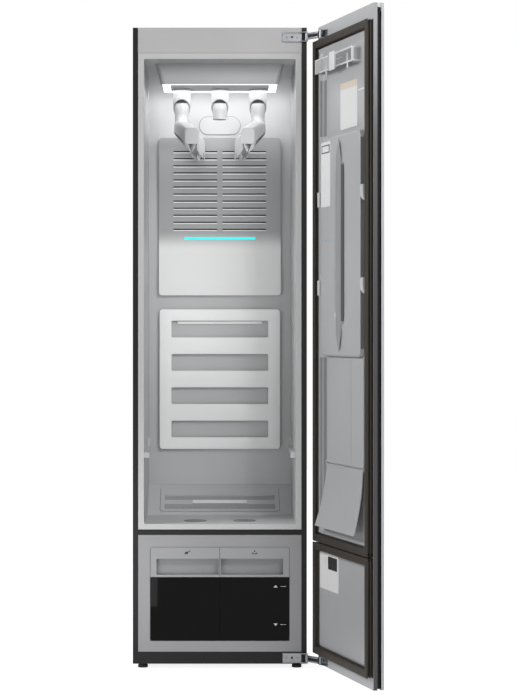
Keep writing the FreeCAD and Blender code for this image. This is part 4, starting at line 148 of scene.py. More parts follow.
class CabinetSizes(bpy.types.PropertyGroup):
    """Sizes of the cabinet's fine pieces"""
    seam: length("Seam", "Width of the shadow lines round covers", 1.2)
    label: length("Label", "Thickness of the bare label plates", 0.25)
    rib: length("Seal rib", "Depth of the grooves between the seal's ribs", 9.0)
    groove: length("Press groove", "Depth of the press board's long groove", 6.0)


# ---- finishes
def surface(name, base, roughness, metallic=0.0, ior=None, **sockets):
    """A material whose plain values sit on the Principled shader's own sockets."""
    material = bpy.data.materials.new(name)
    material.use_nodes = True
    tree = material.node_tree
    shader = tree.nodes["Principled BSDF"]
    shader.inputs["Base Color"].default_value = (*base, 1)
    shader.inputs["Roughness"].default_value = roughness
    shader.inputs["Metallic"].default_value = metallic
    if ior:
        shader.inputs["IOR"].default_value = ior
    for socket, value in sockets.items():
        shader.inputs[socket.replace("_", " ")].default_value = value
    material.diffuse_color = (*base, 1)
    return material, tree, shader


def mottle(tree, place, base, shade, size_mm, target):
    """Drifts a colour a little up and down over a size, into a socket."""
    cloud = add(tree, "TexNoise", {"Vector": place, "Scale": 1 / (size_mm * MM), "Detail": 2.0})
    ramp = add(tree, "ValToRGB", {"Fac": cloud.outputs["Fac"]})
    for element, position, gain in zip(ramp.color_ramp.elements, (0.35, 0.65), (1 - shade, 1 + shade)):
        element.position = position
        element.color = (*[min(1.0, c * gain) for c in base], 1)
    tree.links.new(ramp.outputs["Color"], target)


def relief(tree, shader, place, spacing_mm, height_mm, soft_edge_mm=0.8):
    """Fine bumps at a spacing, over edges that catch the light as a small radius does."""
    fine = add(tree, "TexNoise", {"Vector": place, "Scale": 1 / (spacing_mm * MM), "Detail": 3.0})
    edge = add(tree, "Bevel", {"Radius": soft_edge_mm * MM}, samples=4)
    bump = add(tree, "Bump", {"Height": fine.outputs["Fac"], "Distance": height_mm * MM,
                              "Normal": edge.outputs["Normal"]})
    tree.links.new(bump.outputs["Normal"], shader.inputs["Normal"])


def object_place(tree, stretch=(1, 1, 1)):
    """The object's own coordinates, scaled along its axes."""
    place = add(tree, "TexCoord").outputs["Object"]
    return add(tree, "Mapping", {"Vector": place, "Scale": stretch}).outputs["Vector"]


def grained(name, base, roughness, drift, grain, stretch=(1, 1, 1), **sockets):
    """A finish whose colour drifts by (share, mm) over a grain of (mm apart, mm high, edge mm)."""
    material, tree, shader = surface(name, base, roughness, **sockets)
    place = object_place(tree, stretch)
    mottle(tree, place, base, *drift, shader.inputs["Base Color"])
    relief(tree, shader, place, *grain)
    return material


def coated_steel(name, base):
    # Roller-coated steel: a satin sheen with the paint's faint orange peel, 2 mm apart.
    return grained(name, base, 0.42, (0.04, 300), (2.0, 0.012), ior=1.5, Specular_IOR_Level=0.2)


def moulded_abs(name, base, roughness=0.36, shine=0.5):
    # Moulded ABS: an even colour whose spark-eroded grain, 0.8 mm apart, breaks up the shine.
    return grained(name, base, roughness, (0.015, 160), (0.8, 0.006), ior=1.54, Specular_IOR_Level=shine)


def painted_light_abs(name, base, low):
    # Moulded ABS painted darker above as shade and lighter below as the cabinet lamp's light, the two
    # running into each other beside the light bar.
    material, tree, shader = surface(name, base, 0.34, ior=1.54)
    place = object_place(tree)
    height = add(tree, "SeparateXYZ", {"Vector": place}).outputs["Z"]
    share = add(tree, "MapRange", {"Value": height, "From Min": (LIGHT_BAR_Z - 38) * MM,
                                   "From Max": (LIGHT_BAR_Z + 26) * MM}, interpolation_type="SMOOTHSTEP")
    both = add(tree, "Mix", {FACTOR: share.outputs[0], COLOUR_A: (*low, 1), COLOUR_B: (*base, 1)},
               data_type="RGBA")
    tree.links.new(both.outputs[COLOUR_OUT], shader.inputs["Base Color"])
    relief(tree, shader, place, 0.8, 0.006)
    return material


def tray_sheet(name, base):
    # Vacuum-formed liner sheet with painted shade on its free edge, darkening away from the top. The
    # direction is the sheet's own, so the painted shade stays on that edge as the door swings.
    material, tree, shader = surface(name, base, 0.4, ior=1.54)
    place = object_place(tree)
    normal = add(tree, "TexCoord").outputs["Normal"]
    edge = add(tree, "VectorMath", {0: normal, 1: tuple(door_direction(1, 0))}, operation="DOT_PRODUCT")
    side = add(tree, "Math", {0: edge.outputs["Value"], 1: 0.9}, operation="GREATER_THAN")
    height = add(tree, "SeparateXYZ", {"Vector": place}).outputs["Z"]
    below = add(tree, "MapRange", {"Value": height, "From Min": DOOR_TOP * MM,
                                   "From Max": (DOOR_TOP - 420) * MM}, interpolation_type="SMOOTHSTEP")
    edge_shade = add(tree, "Mix", {FACTOR: below.outputs[0], COLOUR_A: (*linear("#8F9092"), 1),
                             COLOUR_B: (*linear("#363638"), 1)}, data_type="RGBA")
    both = add(tree, "Mix", {FACTOR: side.outputs[0], COLOUR_A: (*base, 1),
                             COLOUR_B: edge_shade.outputs[COLOUR_OUT]}, data_type="RGBA")
    tree.links.new(both.outputs[COLOUR_OUT], shader.inputs["Base Color"])
    relief(tree, shader, place, 1.0, 0.01)
    return material


def glossy_san(name, base):
    # Injection-moulded SAN, tinted black and polished: deep, wet-looking, hardly any grain.
    return grained(name, base, 0.03, (0.1, 90), (40.0, 0.004, 1.0), ior=1.5, Specular_IOR_Level=0.08)


def extruded_seal(name, base):
    # Extruded TPE seal: dull, slightly dusty, with fine lines drawn along its length.
    return grained(name, base, 0.6, (0.12, 14), (0.9, 0.03, 0.4), (1, 1, 0.12), ior=1.5,
                   Specular_IOR_Level=0.2)


def plated_zinc(name, base):
    # Nickel-plated zinc casting: a satin shine over the soft waves of the cast surface.
    return grained(name, base, 0.3, (0.06, 9), (6.0, 0.02, 0.9), metallic=1.0)


def zinc_sheet(name, base):
    # Hot-dip galvanised sheet: matt grey metal with spangle, 12 mm across to show.
    material, tree, shader = surface(name, base, 0.42, metallic=1.0)
    place = object_place(tree)
    spangle = add(tree, "TexVoronoi", {"Vector": place, "Scale": 1 / (12 * MM)})
    ramp = add(tree, "ValToRGB", {"Fac": spangle.outputs["Color"]})
    for element, gain in zip(ramp.color_ramp.elements, (0.8, 1.15)):
        element.color = (*[min(1.0, c * gain) for c in base], 1)
    tree.links.new(ramp.outputs["Color"], shader.inputs["Base Color"])
    relief(tree, shader, place, 3.0, 0.01)
    return material


def drawn_metal(name, base):
    # Drawn or rolled metal: narrow streaks along its length from the rolls.
    return grained(name, base, 0.3, (0.15, 2), (1.5, 0.01), (1, 1, 0.05), metallic=1.0)


def lit_opal(name, base, strength=1.0):
    # Opal polycarbonate with lamps behind it: an even glow with hardly any sheen.
    dim = [c * 0.2 for c in base]
    material, tree, shader = surface(name, dim, 0.4, ior=1.58, Emission_Strength=strength)
    mottle(tree, object_place(tree), base, 0.02, 25, shader.inputs["Emission Color"])
    return material


def vinyl_label(name, base):
    # Printed vinyl: a matt film, its backing's fibres just showing.
    return grained(name, base, 0.55, (0.02, 6), (0.6, 0.01, 0.2), ior=1.46)


def woven_mesh(name, base):
    # Woven polyester lint screen: threads 1 mm apart in the real filter, drawn at 3 mm to show.
    material, tree, shader = surface(name, base, 0.6, ior=1.57)
    place = object_place(tree)
    # A wave texture's bands lie 20 scales apart, so its scale is the spacing's inverse over 20.
    waves = [add(tree, "TexWave", {"Vector": place, "Scale": 1 / (3 * MM) / 20}, bands_direction=axis)
             for axis in ("X", "Z")]
    both = add(tree, "Math", {0: waves[0].outputs["Fac"], 1: waves[1].outputs["Fac"]}, operation="MAXIMUM")
    ramp = add(tree, "ValToRGB", {"Fac": both.outputs[0]})
    ramp.color_ramp.elements[0].position = 0.6
    ramp.color_ramp.elements[0].color = (*[c * 0.94 for c in base], 1)
    ramp.color_ramp.elements[1].color = (*base, 1)
    tree.links.new(ramp.outputs["Color"], shader.inputs["Base Color"])
    bump = add(tree, "Bump", {"Height": both.outputs[0], "Distance": 0.02 * MM})
    tree.links.new(bump.outputs["Normal"], shader.inputs["Normal"])
    return material


def circuit_board(name, base):
    # Glass-epoxy laminate under green solder mask: glossy, tracks showing as darker lines.
    material, tree, shader = surface(name, base, 0.25, ior=1.5)
    place = object_place(tree)
    tracks = add(tree, "TexBrick", {"Vector": place, "Scale": 1 / (22 * MM), "Color1": (*base, 1),
                                    "Color2": (*[c * 0.8 for c in base], 1),
                                    "Mortar": (*[c * 0.45 for c in base], 1), "Mortar Size": 0.03})
    tree.links.new(tracks.outputs["Color"], shader.inputs["Base Color"])
    relief(tree, shader, place, 2.0, 0.02)
    return material


def finishes():
    """Each finish's maker and its colour."""
    c = bpy.context.scene.cabinet_colours
    return {
        "black_coated_steel": (coated_steel, c.casing),
        "silver_coated_steel": (coated_steel, c.door_skin),
        "zinc_sheet": (zinc_sheet, linear("#909396")),
        "fascia_abs": (moulded_abs, c.fascia),
        "cavity_frame_abs": (moulded_abs, c.cavity_frame),
        "bay_frame_abs": (moulded_abs, c.bay_frame),
        "liner_abs": (moulded_abs, c.liner),
        "floor_abs": (moulded_abs, c.floor),
        "hanger_abs": (moulded_abs, c.hanger),
        "rack_abs": (moulded_abs, c.rack),
        "tank_front_abs": (moulded_abs, c.tank_front),
        "door_abs": (moulded_abs, c.door_inner),
        "black_abs": (lambda name, base: moulded_abs(name, base, 0.6, 0.2), linear("#0C0C0D")),
        "seam_abs": (moulded_abs, linear("#48494B")),
        # The next two greys are painted shade, laid in recesses, slots and on faces turned from the light.
        "outlet_abs": (moulded_abs, linear("#77787A")),
        "recess_abs": (moulded_abs, linear("#87888A")),
        "spine_abs": (moulded_abs, linear("#A2A3A5")),
        "clear_abs": (moulded_abs, linear("#D6D8DA")),
        "grille_abs": (lambda name, base: painted_light_abs(name, base, c.grille_low), c.grille_top),
        "tray_sheet": (tray_sheet, c.door_inner),
        "glossy_san": (glossy_san, c.tank),
        "extruded_seal": (extruded_seal, c.seal),
        "black_rubber": (extruded_seal, linear("#080808")),
        "plated_zinc": (plated_zinc, linear("#7D7F82")),
        "aluminium": (drawn_metal, linear("#B4B6B8")),
        "lamp_opal": (lambda name, base: lit_opal(name, base, 1.1), linear("#FFFFFF")),
        "light_bar_opal": (lit_opal, c.light_bar),
        "label_vinyl": (vinyl_label, linear("#F0F0F0")),
        "cream_vinyl": (vinyl_label, linear("#E8DCCB")),
        "black_vinyl": (vinyl_label, linear("#1B1B1B")),
        "blue_vinyl": (vinyl_label, linear("#A9C6D8")),
        "white_ink": (vinyl_label, linear("#C9C9C9")),
        "filter_mesh": (woven_mesh, linear("#A2A4A6")),
        "circuit_board": (circuit_board, linear("#1F5A3A")),
    }


def finish(key):
    """The material of that name, made when it is first asked for."""
    if key not in bpy.data.materials:
        maker, base = finishes()[key]
        maker(key, tuple(base))
    return bpy.data.materials[key]


def dress(key, *nodes):
    """Gives CAD nodes a finish."""
    for name in nodes:
        mesh = NODES[name].data
        mesh.materials.clear()
        mesh.materials.append(finish(key))


# ---- shapes, as (points, faces) in millimetres
def join(*shapes):
    """Several shapes as one."""
    points, faces = [], []
    for p, f in shapes:
        faces += [tuple(i + len(points) for i in face) for face in f]
        points += list(p)
    return points, faces


def put(shape, place):
    """The shape with each point (a, b, c) put at place(a, b, c)."""
    return [tuple(place(*p)) for p in shape[0]], shape[1]


def plate(outline, low, high):
    """An outline of (a, b) points, thickened from c = low to high."""
    count = len(outline)
    points = [(a, b, low) for a, b in outline] + [(a, b, high) for a, b in outline]
    faces = [tuple(reversed(range(count))), tuple(range(count, 2 * count))]
    faces += [(i, (i + 1) % count, (i + 1) % count + count, i + count) for i in range(count)]
    return points, faces


def bar(a0, a1, b0, b1, c0, c1):
    """A straight bar between two corners."""
    return plate([(a0, b0), (a1, b0), (a1, b1), (a0, b1)], c0, c1)


def round_rect(a0, a1, b0, b1, radius, steps=6):
    """Outline of a rectangle with round corners."""
    outline = []
    for a, b, start in ((a1 - radius, b1 - radius, 0), (a0 + radius, b1 - radius, 90),
                        (a0 + radius, b0 + radius, 180), (a1 - radius, b0 + radius, 270)):
        for i in range(steps + 1):
            turn = math.radians(start + 90 * i / steps)
            outline.append((a + radius * math.cos(turn), b + radius * math.sin(turn)))
    return outline


def band(outer, inner, low, high):
    """A flat ring between two outlines of as many points."""
    n = len(outer)
    points = [(a, b, c) for c in (low, high) for ring in (outer, inner) for a, b in ring]
    faces = []
    for i in range(n):
        j = (i + 1) % n
        faces += [(i, j, j + n, i + n), (i + 2 * n, i + 3 * n, j + 3 * n, j + 2 * n),
                  (i, i + 2 * n, j + 2 * n, j), (i + n, j + n, j + 3 * n, i + 3 * n)]
    return points, faces


def rim_round(box, radius, out, low, high, inset=0.0, steps=6):
    """A flat ring over the edge of a rectangle with round corners, from inset to out of it."""
    a0, a1, b0, b1 = box
    outer = round_rect(a0 - out, a1 + out, b0 - out, b1 + out, radius + out, steps)
    inner = round_rect(a0 + inset, a1 - inset, b0 + inset, b1 - inset, radius - inset, steps)
    return band(outer, inner, low, high)


def skin(rings):
    """A closed skin over rings of as many points each."""
    n = len(rings[0])
    points = [p for ring in rings for p in ring]
    faces = [(r * n + i, r * n + (i + 1) % n, (r + 1) * n + (i + 1) % n, (r + 1) * n + i)
             for r in range(len(rings) - 1) for i in range(n)]
    faces += [tuple(reversed(range(n))), tuple(range(len(points) - n, len(points)))]
    return points, faces


def lathe(profile, steps=40):
    """A profile of (radius, height) points turned about the upright axis; closed at its ends."""
    turns = [2 * math.pi * i / steps for i in range(steps)]
    return skin([[(radius * math.cos(t), radius * math.sin(t), height) for t in turns]
                 for radius, height in profile])


def relief_plate(us, vs, height, back, keep=None):
    """A plate over a grid of (u, v) whose face follows height(u, v); its back is flat."""
    keep = keep or (lambda u, v: (u, v))
    front = [(*keep(u, v), height(u, v)) for v in vs for u in us]
    rear = [(*keep(u, v), back) for v in vs for u in us]
    n, m = len(us), len(vs)
    faces = [(r * n + i, r * n + i + 1, (r + 1) * n + i + 1, (r + 1) * n + i)
             for r in range(m - 1) for i in range(n - 1)]
    rim = list(range(n)) + [r * n + n - 1 for r in range(1, m)]
    rim += [(m - 1) * n + i for i in range(n - 2, -1, -1)] + [r * n for r in range(m - 2, 0, -1)]
    total = n * m
    faces += [(i, j, j + total, i + total) for i, j in zip(rim, rim[1:] + rim[:1])]
    faces.append(tuple(i + total for i in reversed(rim)))
    return front + rear, faces


def smooth_step(x, start, end):
    """From 0 at start to 1 at end, level at both."""
    t = min(1.0, max(0.0, (x - start) / (end - start)))
    return t * t * (3 - 2 * t)


def plateau(x, start, full, fade, end):
    """1 between full and fade, falling to 0 at start and end."""
    return smooth_step(x, start, full) * (1 - smooth_step(x, fade, end))


# ---- places
def front(x, z, y):
    """Drawn flat as (x, z), with y as depth."""
    return x, y, z


def facing(x, z, rise):
    """Drawn flat as (x, z), rising towards the front from y = 0."""
    return x, -rise, z


def from_side(y, z, x):
    """Drawn from the side as (y, z), with x as depth."""
    return x, y, z


def at_port(x):
    """Drawn about an upright axis, which stands at the port at x."""
    return lambda a, b, z: (x + a, PORT_Y + b, z)


def door_direction(w, n):
    """The way on the open door of a step of w and n."""
    c, s = math.cos(DOOR_TURN), math.sin(DOOR_TURN)
    return Vector((-w * c - n * s, -w * s + n * c, 0.0))


def on_door(w, z, n):
    """A point in door sizes, on the open door."""
    step = door_direction(w - DOOR_PIN_W, n - DOOR_PIN_N)
    return DOOR_PIN_OPEN[0] + step.x, DOOR_PIN_OPEN[1] + step.y, z


def across_door(n, z, w):
    """Drawn in the door's profile as (n, z), with w as depth."""
    return w, z, n


def on_arm(s, z, rise):
    """A point on the hinge arms' outer side: s from the cabinet's pin to the door's."""
    start, end = Vector((250.0, -14.0)), Vector(DOOR_PIN_OPEN)
    along = (end - start).normalized()
    side = Vector((along.y, -along.x))
    spot = start + along * s + side * (2.5 + rise)
    return spot.x, spot.y, z


def on_slope(x, s, rise):
    """A point on the cavity floor's slope: s up it from its foot, rise off it."""
    return (x, FLOOR_FLAT + s * math.cos(SLOPE) - rise * math.sin(SLOPE),
            CAVITY_BOTTOM + s * math.sin(SLOPE) + rise * math.cos(SLOPE))


# ---- pieces
def piece(name, body, key, shape, place=None, edge=0.0, sharp=35):
    """A mesh of that shape that rides on a body; its hard edges are rounded by a radius."""
    points, faces = put(shape, place) if place else shape
    mesh = bpy.data.meshes.new(name)
    mesh.from_pydata([tuple(c * MM for c in p) for p in points], [], faces)
    work = bmesh.new()
    work.from_mesh(mesh)
    bmesh.ops.remove_doubles(work, verts=work.verts, dist=1e-6)
    bmesh.ops.recalc_face_normals(work, faces=work.faces)
    if edge:
        hard = [e for e in work.edges
                if len(e.link_faces) == 2 and e.calc_face_angle() > math.radians(sharp)]
        bmesh.ops.bevel(work, geom=hard, offset=edge * MM, segments=2, profile=0.6, affect="EDGES",
                        clamp_overlap=True)
    work.to_mesh(mesh)
    work.free()
    mesh.shade_smooth()
    mesh.set_sharp_from_angle(angle=math.radians(sharp))
    mesh.materials.append(finish(key))
    made = bpy.data.objects.new(name, mesh)
    bpy.context.scene.collection.objects.link(made)
    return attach(made, body) or made


def settled(made):
    """Turns the piece's modifiers into its mesh."""
    shaped = made.evaluated_get(bpy.context.evaluated_depsgraph_get())
    mesh = bpy.data.meshes.new_from_object(shaped)
    made.modifiers.clear()
    made.data = mesh
    mesh.shade_smooth()
    mesh.set_sharp_from_angle(angle=math.radians(35))


def hollow(made, body, shapes, place=None):
    """Cuts shapes out of a piece."""
    for shape in shapes:
        cutter = piece("cutter", body, "seam_abs", shape, place)
        cut = made.modifiers.new("hollow", "BOOLEAN")
        cut.operation, cut.object, cut.solver = "DIFFERENCE", cutter, "EXACT"
        settled(made)
        bpy.data.objects.remove(cutter)


def screw_heads(name, body, spots, place, radius=3.2, rise=1.4):
    """Recessed pan heads at (a, b, c) spots, which rise along c."""
    head = lathe([(radius, 0), (radius, rise * 0.4), (radius * 0.75, rise), (radius * 0.2, rise),
                  (radius * 0.2, rise * 0.3)], 20)
    heads = [put(head, lambda p, q, r, a=a, b=b, c=c: (a + p, b + q, c + r)) for a, b, c in spots]
    piece(name, body, "plated_zinc", join(*heads), place)


class CABINET_OT_casing(bpy.types.Operator):
    """Finish the casing: steel sheets, fascia, frames, feet and the screws at the back"""
    bl_idname = "cabinet.casing"
    bl_label = "Casing"

    def execute(self, context):
        dress("black_coated_steel", "side_panel_left", "side_panel_right", "top_panel", "base_tray",
              "divider_rail")
        dress("zinc_sheet", "back_panel")
        dress("fascia_abs", "top_fascia")
        dress("bay_frame_abs", "bay_frame")
        dress("cavity_frame_abs", "cavity_frame")
        dress("black_abs", "power_inlet")
        dress("black_rubber", "foot_front_left", "foot_front_right", "foot_back_left", "foot_back_right")
        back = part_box("back_panel")[1][1] / MM
        spots = [(x, z, -back) for x in (-232, 0, 232) for z in (60, 640, 1230, 1820)]
        screw_heads("back_screws", "cabinet", spots, facing, rise=1.2)
        return {"FINISHED"}


class CABINET_OT_cavity(bpy.types.Operator):
    """Finish the garment cavity: liner, floor, outlets, lint filter, cover and brackets"""
    bl_idname = "cabinet.cavity"
    bl_label = "Garment cavity"

    def execute(self, context):
        dress("liner_abs", "cavity_liner", "cavity_back_wall", "service_cover")
        dress("floor_abs", "cavity_floor", "shelf_brackets", "lint_filter")
        # The steam outlets are painted darker, as shade in their recesses.
        dress("outlet_abs", "steam_outlets")
        seam = context.scene.cabinet_sizes.seam / MM
        ring = rim_round(SERVICE_COVER, COVER_CORNER, seam, CAVITY_BACK - 0.5, CAVITY_BACK, steps=12)
        piece("service_cover_seam", "cabinet", "seam_abs", ring, front)
        piece("filter_seam", "cabinet", "seam_abs",
              rim_round(LINT_FILTER, FILTER_CORNER, seam, 0.05, 0.4), on_slope)
        # The gauze lies sunk in the filter's two windows, below and above its grip.
        gauze = [bar(-169.5, 169.5, start, end, -2.4, -1.8) for start, end in ((28.5, 60.8), (82.2, 103.5))]
        piece("filter_gauze", "lint_filter", "filter_mesh", join(*gauze), on_slope)
        grip = plate(round_rect(-83, 83, 61.5, 77, 3), 1.2, 3.4)
        piece("filter_grip_cap", "lint_filter", "rack_abs", grip, on_slope, edge=0.8)
        return {"FINISHED"}


class CABINET_OT_housing(bpy.types.Operator):
    """Finish the hanger housing: shell, lit diffuser, collars, seal rings and nozzle"""
    bl_idname = "cabinet.housing"
    bl_label = "Hanger housing"

    def execute(self, context):
        dress("liner_abs", "hanger_housing")
        dress("lamp_opal", "lamp_diffuser")
        dress("hanger_abs", "port_collars", "center_nozzle")
        dress("black_rubber", "port_ring_left", "port_ring_right")
        ring = lathe([(16.7, 1658.2), (23.1, 1658.2), (23.1, 1666.8), (16.7, 1666.8)])
        piece("nozzle_ring", "center_nozzle", "black_rubber", ring, at_port(0))
        mouth = lathe([(18.1, 1608.1), (18.1, 1640), (17, 1640), (17, 1641)])
        piece("nozzle_bore", "center_nozzle", "seam_abs", mouth, at_port(0))
        # A darker plate over the housing's port plate, as painted shade on its downward face, with holes
        # cut for the three ports.
        cover = piece("port_plate_face", "cabinet", "recess_abs",
                      plate(round_rect(-145, 145, 140, 290, 6, 4), PORT_PLATE_Z, PORT_PLATE_Z + 0.9))
        hole = lathe([(26.2, 1690), (26.2, 1710)], 48)
        hollow(cover, "cabinet", [put(hole, at_port(x)) for x in (-PORT_X, 0, PORT_X)])
        return {"FINISHED"}


def hanger_middle(y):
    """How far the hanger's line has curved sideways at y."""
    return HANGER_CURVE * (y / HANGER_REACH) ** 2


def hanger_ring(y, inward=0, inset=0, drop=0):
    """The hanger's outline across its length at y: upright flanks under a round crown."""
    share = y / HANGER_REACH
    x = hanger_middle(y)
    half = HANGER_HALF - 0.8 * abs(share) - inset - inward
    top = HANGER_CROWN - 34 * share ** 2 - inset
    low = HANGER_FLANK - 85 * max(0.0, (abs(y) - HANGER_SHOULDER) / HANGER_TAPER) - drop
    outer_low = HANGER_OUTER_FLANK - 45 * share ** 2 - drop
    radius = min(half * 0.9, 13.0)
    ring = [(x - half, y, outer_low)]
    for middle, start in ((x - half + radius, 180), (x + half - radius, 90)):
        for i in range(9):
            turn = math.radians(start - 90 * i / 8)
            ring.append((middle + radius * math.cos(turn), y, top - radius + radius * math.sin(turn)))
    return ring + [(x + half, y, low)]


def hanger_shape(inset=0, drop=0):
    """The arched form that curves sideways at both tips, or its inside."""
    corner = HANGER_TIP_ROUND - inset
    straight = HANGER_REACH - HANGER_TIP_ROUND
    arm = [(straight * i / 16, 0) for i in range(17)]
    for t in (22, 45, 67, 90):
        turn = math.radians(t)
        arm.append((straight + corner * math.sin(turn), corner * (1 - math.cos(turn))))
    stations = [(-y, inward) for y, inward in reversed(arm[1:])] + arm
    return skin([hanger_ring(y, inward, inset, drop) for y, inward in stations])


def hanger_neck():
    """The round neck, and the flare that runs from it into both arms."""
    neck = lathe([(16.5, 1699.9), (16.5, 1657.7), (21.7, 1655.5), (22.5, 1641), (20.4, 1618.5),
                  (20.6, 1600), (21.6, 1588)], 48)
    turns = [2 * math.pi * i / 48 for i in range(48)]
    flare = [[(r * math.cos(t), r * math.sin(t) * stretch, z) for t in turns]
             for r, stretch, z in ((20.4, 1.0, 1622), (20.5, 1.12, 1612), (20.7, 1.4, 1604),
                                   (21, 1.9, 1596), (21, 2.0, 1585))]
    return join(neck, skin(flare))


def hanger_fins():
    """Two vanes under each tip, which lean apart from its middle line."""
    fins = []
    for end in (-1, 1):
        for lean in (-1, 1):
            near, far = [], []
            for y, z in ((150, 1508), (150, 1530), (172, 1530), (173, FIN_FOOT)):
                x = hanger_middle(end * y) + lean * (2 + (z - FIN_FOOT) * 0.42)
                near.append((x - 0.7, end * y, z))
                far.append((x + 0.7, end * y, z))
            fins.append(skin([near, far]))
    return join(*fins)


def hanger_dark_edges():
    """Dark strips along the outer flanks' lower edges."""
    dark_edges = []
    for end in (-1, 1):
        rings = []
        for i in range(11):
            x, y, z = hanger_ring(end * (22 + 140 * i / 10))[0]
            rings.append([(x + a, y, z + b)
                          for a, b in ((-0.3, -0.4), (-0.3, 3.4), (2.0, 3.4), (2.0, -0.4))])
        dark_edges.append(skin(rings))
    return join(*dark_edges)


class CABINET_OT_hangers(bpy.types.Operator):
    """Make the two air hangers, hollow below, with the neck running into the arms"""
    bl_idname = "cabinet.hangers"
    bl_label = "Air hangers"

    def execute(self, context):
        lean = Matrix.Rotation(HANGER_LEAN, 4, "Z")
        for body, x in (("hanger_left", -PORT_X), ("hanger_right", PORT_X)):
            name = "air_" + body

            def place(a, b, c, x=x):
                """From the hanger's own axes to its port, mirrored for the right one."""
                v = lean @ Vector((a, b, 0))
                return (v.x if x < 0 else -v.x) + x, v.y + PORT_Y, c

            made = piece(name, body, "hanger_abs", join(hanger_shape(), hanger_neck()), place)
            # Arms, neck and flare become one skin, which is softened where they meet.
            made.modifiers.new("fill", "REMESH").voxel_size = 1.7 * MM
            soften = made.modifiers.new("soften", "SMOOTH")
            soften.factor, soften.iterations = 0.5, 8
            settled(made)
            # It is hollowed from below, and opened at both tips' ends.
            ends = [bar(HANGER_CURVE - 17.0, HANGER_CURVE + 17.0, *sorted((s * 160, s * 180)), 1480, 1521)
                    for s in (-1, 1)]
            hollow(made, body, (hanger_shape(2.4, 12), *ends), place)
            made.modifiers.new("light", "DECIMATE").ratio = 0.45
            settled(made)
            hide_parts(body)
            piece(name + "_fins", body, "rack_abs", hanger_fins(), place)
            piece(name + "_hems", body, "seam_abs", hanger_dark_edges(), place)
        return {"FINISHED"}


class CABINET_OT_grille(bpy.types.Operator):
    """Finish the grille panel, its louvre slats and the light bar"""
    bl_idname = "cabinet.grille"
    bl_label = "Grille and light bar"

    def execute(self, context):
        dress("grille_abs", "grille_panel")
        dress("light_bar_opal", "light_bar_lens")
        lips, shades = [], []
        for row in range(LOUVRE_ROWS):
            z = LOUVRE_TOP - row * LOUVRE_PITCH
            fall = (GRILLE_TOP - z) / (GRILLE_TOP - LIGHT_BAR_Z)
            y = GRILLE_FACE_Y + (VALLEY_Y - GRILLE_FACE_Y) * fall
            # A lip under the slot whose sloped top catches the lamp, and a dark plate behind it as painted
            # shade inside the slot.
            lip = [(y - 1.1, z - 4.9), (y - 1.1, z - 4.4), (y - 0.2, z - 2.2), (y + 1.2, z - 2.2),
                   (y + 1.2, z - 4.9)]
            shade = [(y + 2.2, z - 2.0), (y + 2.6, z - 2.0), (y + 2.6, z + 2.0), (y + 2.2, z + 2.0)]
            for side in (-1, 1):
                ends = sorted((side * LOUVRE_INNER, side * LOUVRE_OUTER))
                lips.append(plate(lip, *ends))
                shades.append(plate(shade, *ends))
        piece("louvre_lips", "cabinet", "rack_abs", join(*lips), from_side)
        piece("louvre_shades", "cabinet", "black_abs", join(*shades), from_side)
        return {"FINISHED"}


class CABINET_OT_rack(bpy.types.Operator):
    """Make the storage rack with its soft rims, and finish what it hangs on"""
    bl_idname = "cabinet.rack"
    bl_label = "Storage rack"

    def execute(self, context):
        dress("rack_abs", "rack_hooks")
        xs = [-RACK_HALF, -RACK_WINDOW_HALF, RACK_WINDOW_HALF, RACK_HALF]
        zs = [RACK_BOTTOM]
        for z in reversed(RACK_WINDOW_ZS):
            zs += [z - RACK_WINDOW_RISE, z + RACK_WINDOW_RISE]
        zs.append(RACK_TOP)
        # The plate's face, without its windows: the middle column's every other field.
        mesh = bpy.data.meshes.new("rack_plate")
        work = bmesh.new()
        grid = [[work.verts.new((x * MM, (RACK_FACE_Y + 0.2) * MM, z * MM)) for x in xs] for z in zs]
        for r in range(len(zs) - 1):
            for i in range(3):
                if i != 1 or r % 2 == 0:
                    work.faces.new((grid[r][i], grid[r][i + 1], grid[r + 1][i + 1], grid[r + 1][i]))
        made = bmesh.ops.extrude_face_region(work, geom=list(work.faces))
        moved = [v for v in made["geom"] if isinstance(v, bmesh.types.BMVert)]
        bmesh.ops.translate(work, verts=moved, vec=(0, (RACK_BACK_Y - RACK_FACE_Y - 0.2) * MM, 0))
        bmesh.ops.recalc_face_normals(work, faces=work.faces)
        # Its outer corners are rounded first, then its windows' corners, then the rims in front.
        deep = [e for e in work.edges if abs((e.verts[0].co - e.verts[1].co).normalized().y) > 0.99]
        outer, inner = [], []
        for e in deep:
            x, _, z = e.verts[0].co / MM
            if abs(x) > RACK_HALF - 1 and min(abs(z - RACK_BOTTOM), abs(z - RACK_TOP)) < 0.5:
                outer.append(e)
            elif abs(x) < RACK_WINDOW_HALF + 1 and e.calc_face_angle() > 0.5:
                inner.append(e)
        bmesh.ops.bevel(work, geom=outer, offset=10 * MM, segments=6, profile=0.5, affect="EDGES")
        inner = [e for e in inner if e.is_valid]
        bmesh.ops.bevel(work, geom=inner, offset=3 * MM, segments=4, profile=0.5, affect="EDGES")
        rims = [e for e in work.edges if len(e.link_faces) == 2 and e.calc_face_angle() > 0.8
                and max(v.co.y for v in e.verts) < (RACK_FACE_Y + 1) * MM]
        bmesh.ops.bevel(work, geom=rims, offset=2.6 * MM, segments=4, profile=0.5, affect="EDGES",
                        clamp_overlap=True)
        work.to_mesh(mesh)
        work.free()
        mesh.shade_smooth()
        mesh.set_sharp_from_angle(angle=math.radians(40))
        mesh.materials.append(finish("rack_abs"))
        rack = bpy.data.objects.new("rack_plate", mesh)
        context.scene.collection.objects.link(rack)
        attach(rack, "storage_rack")
        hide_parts("storage_rack")
        boss = band(round_rect(-8, 8, -8, 8, 8), round_rect(-4.3, 4.3, -4.3, 4.3, 4.3), RACK_BACK_Y, 454.7)
        bosses = [put(boss, lambda a, b, y, x=x, z=z: (x + a, y, z + b))
                  for x in (-168, 168) for z in (631, 1022)]
        piece("rack_bosses", "storage_rack", "rack_abs", join(*bosses))
        return {"FINISHED"}


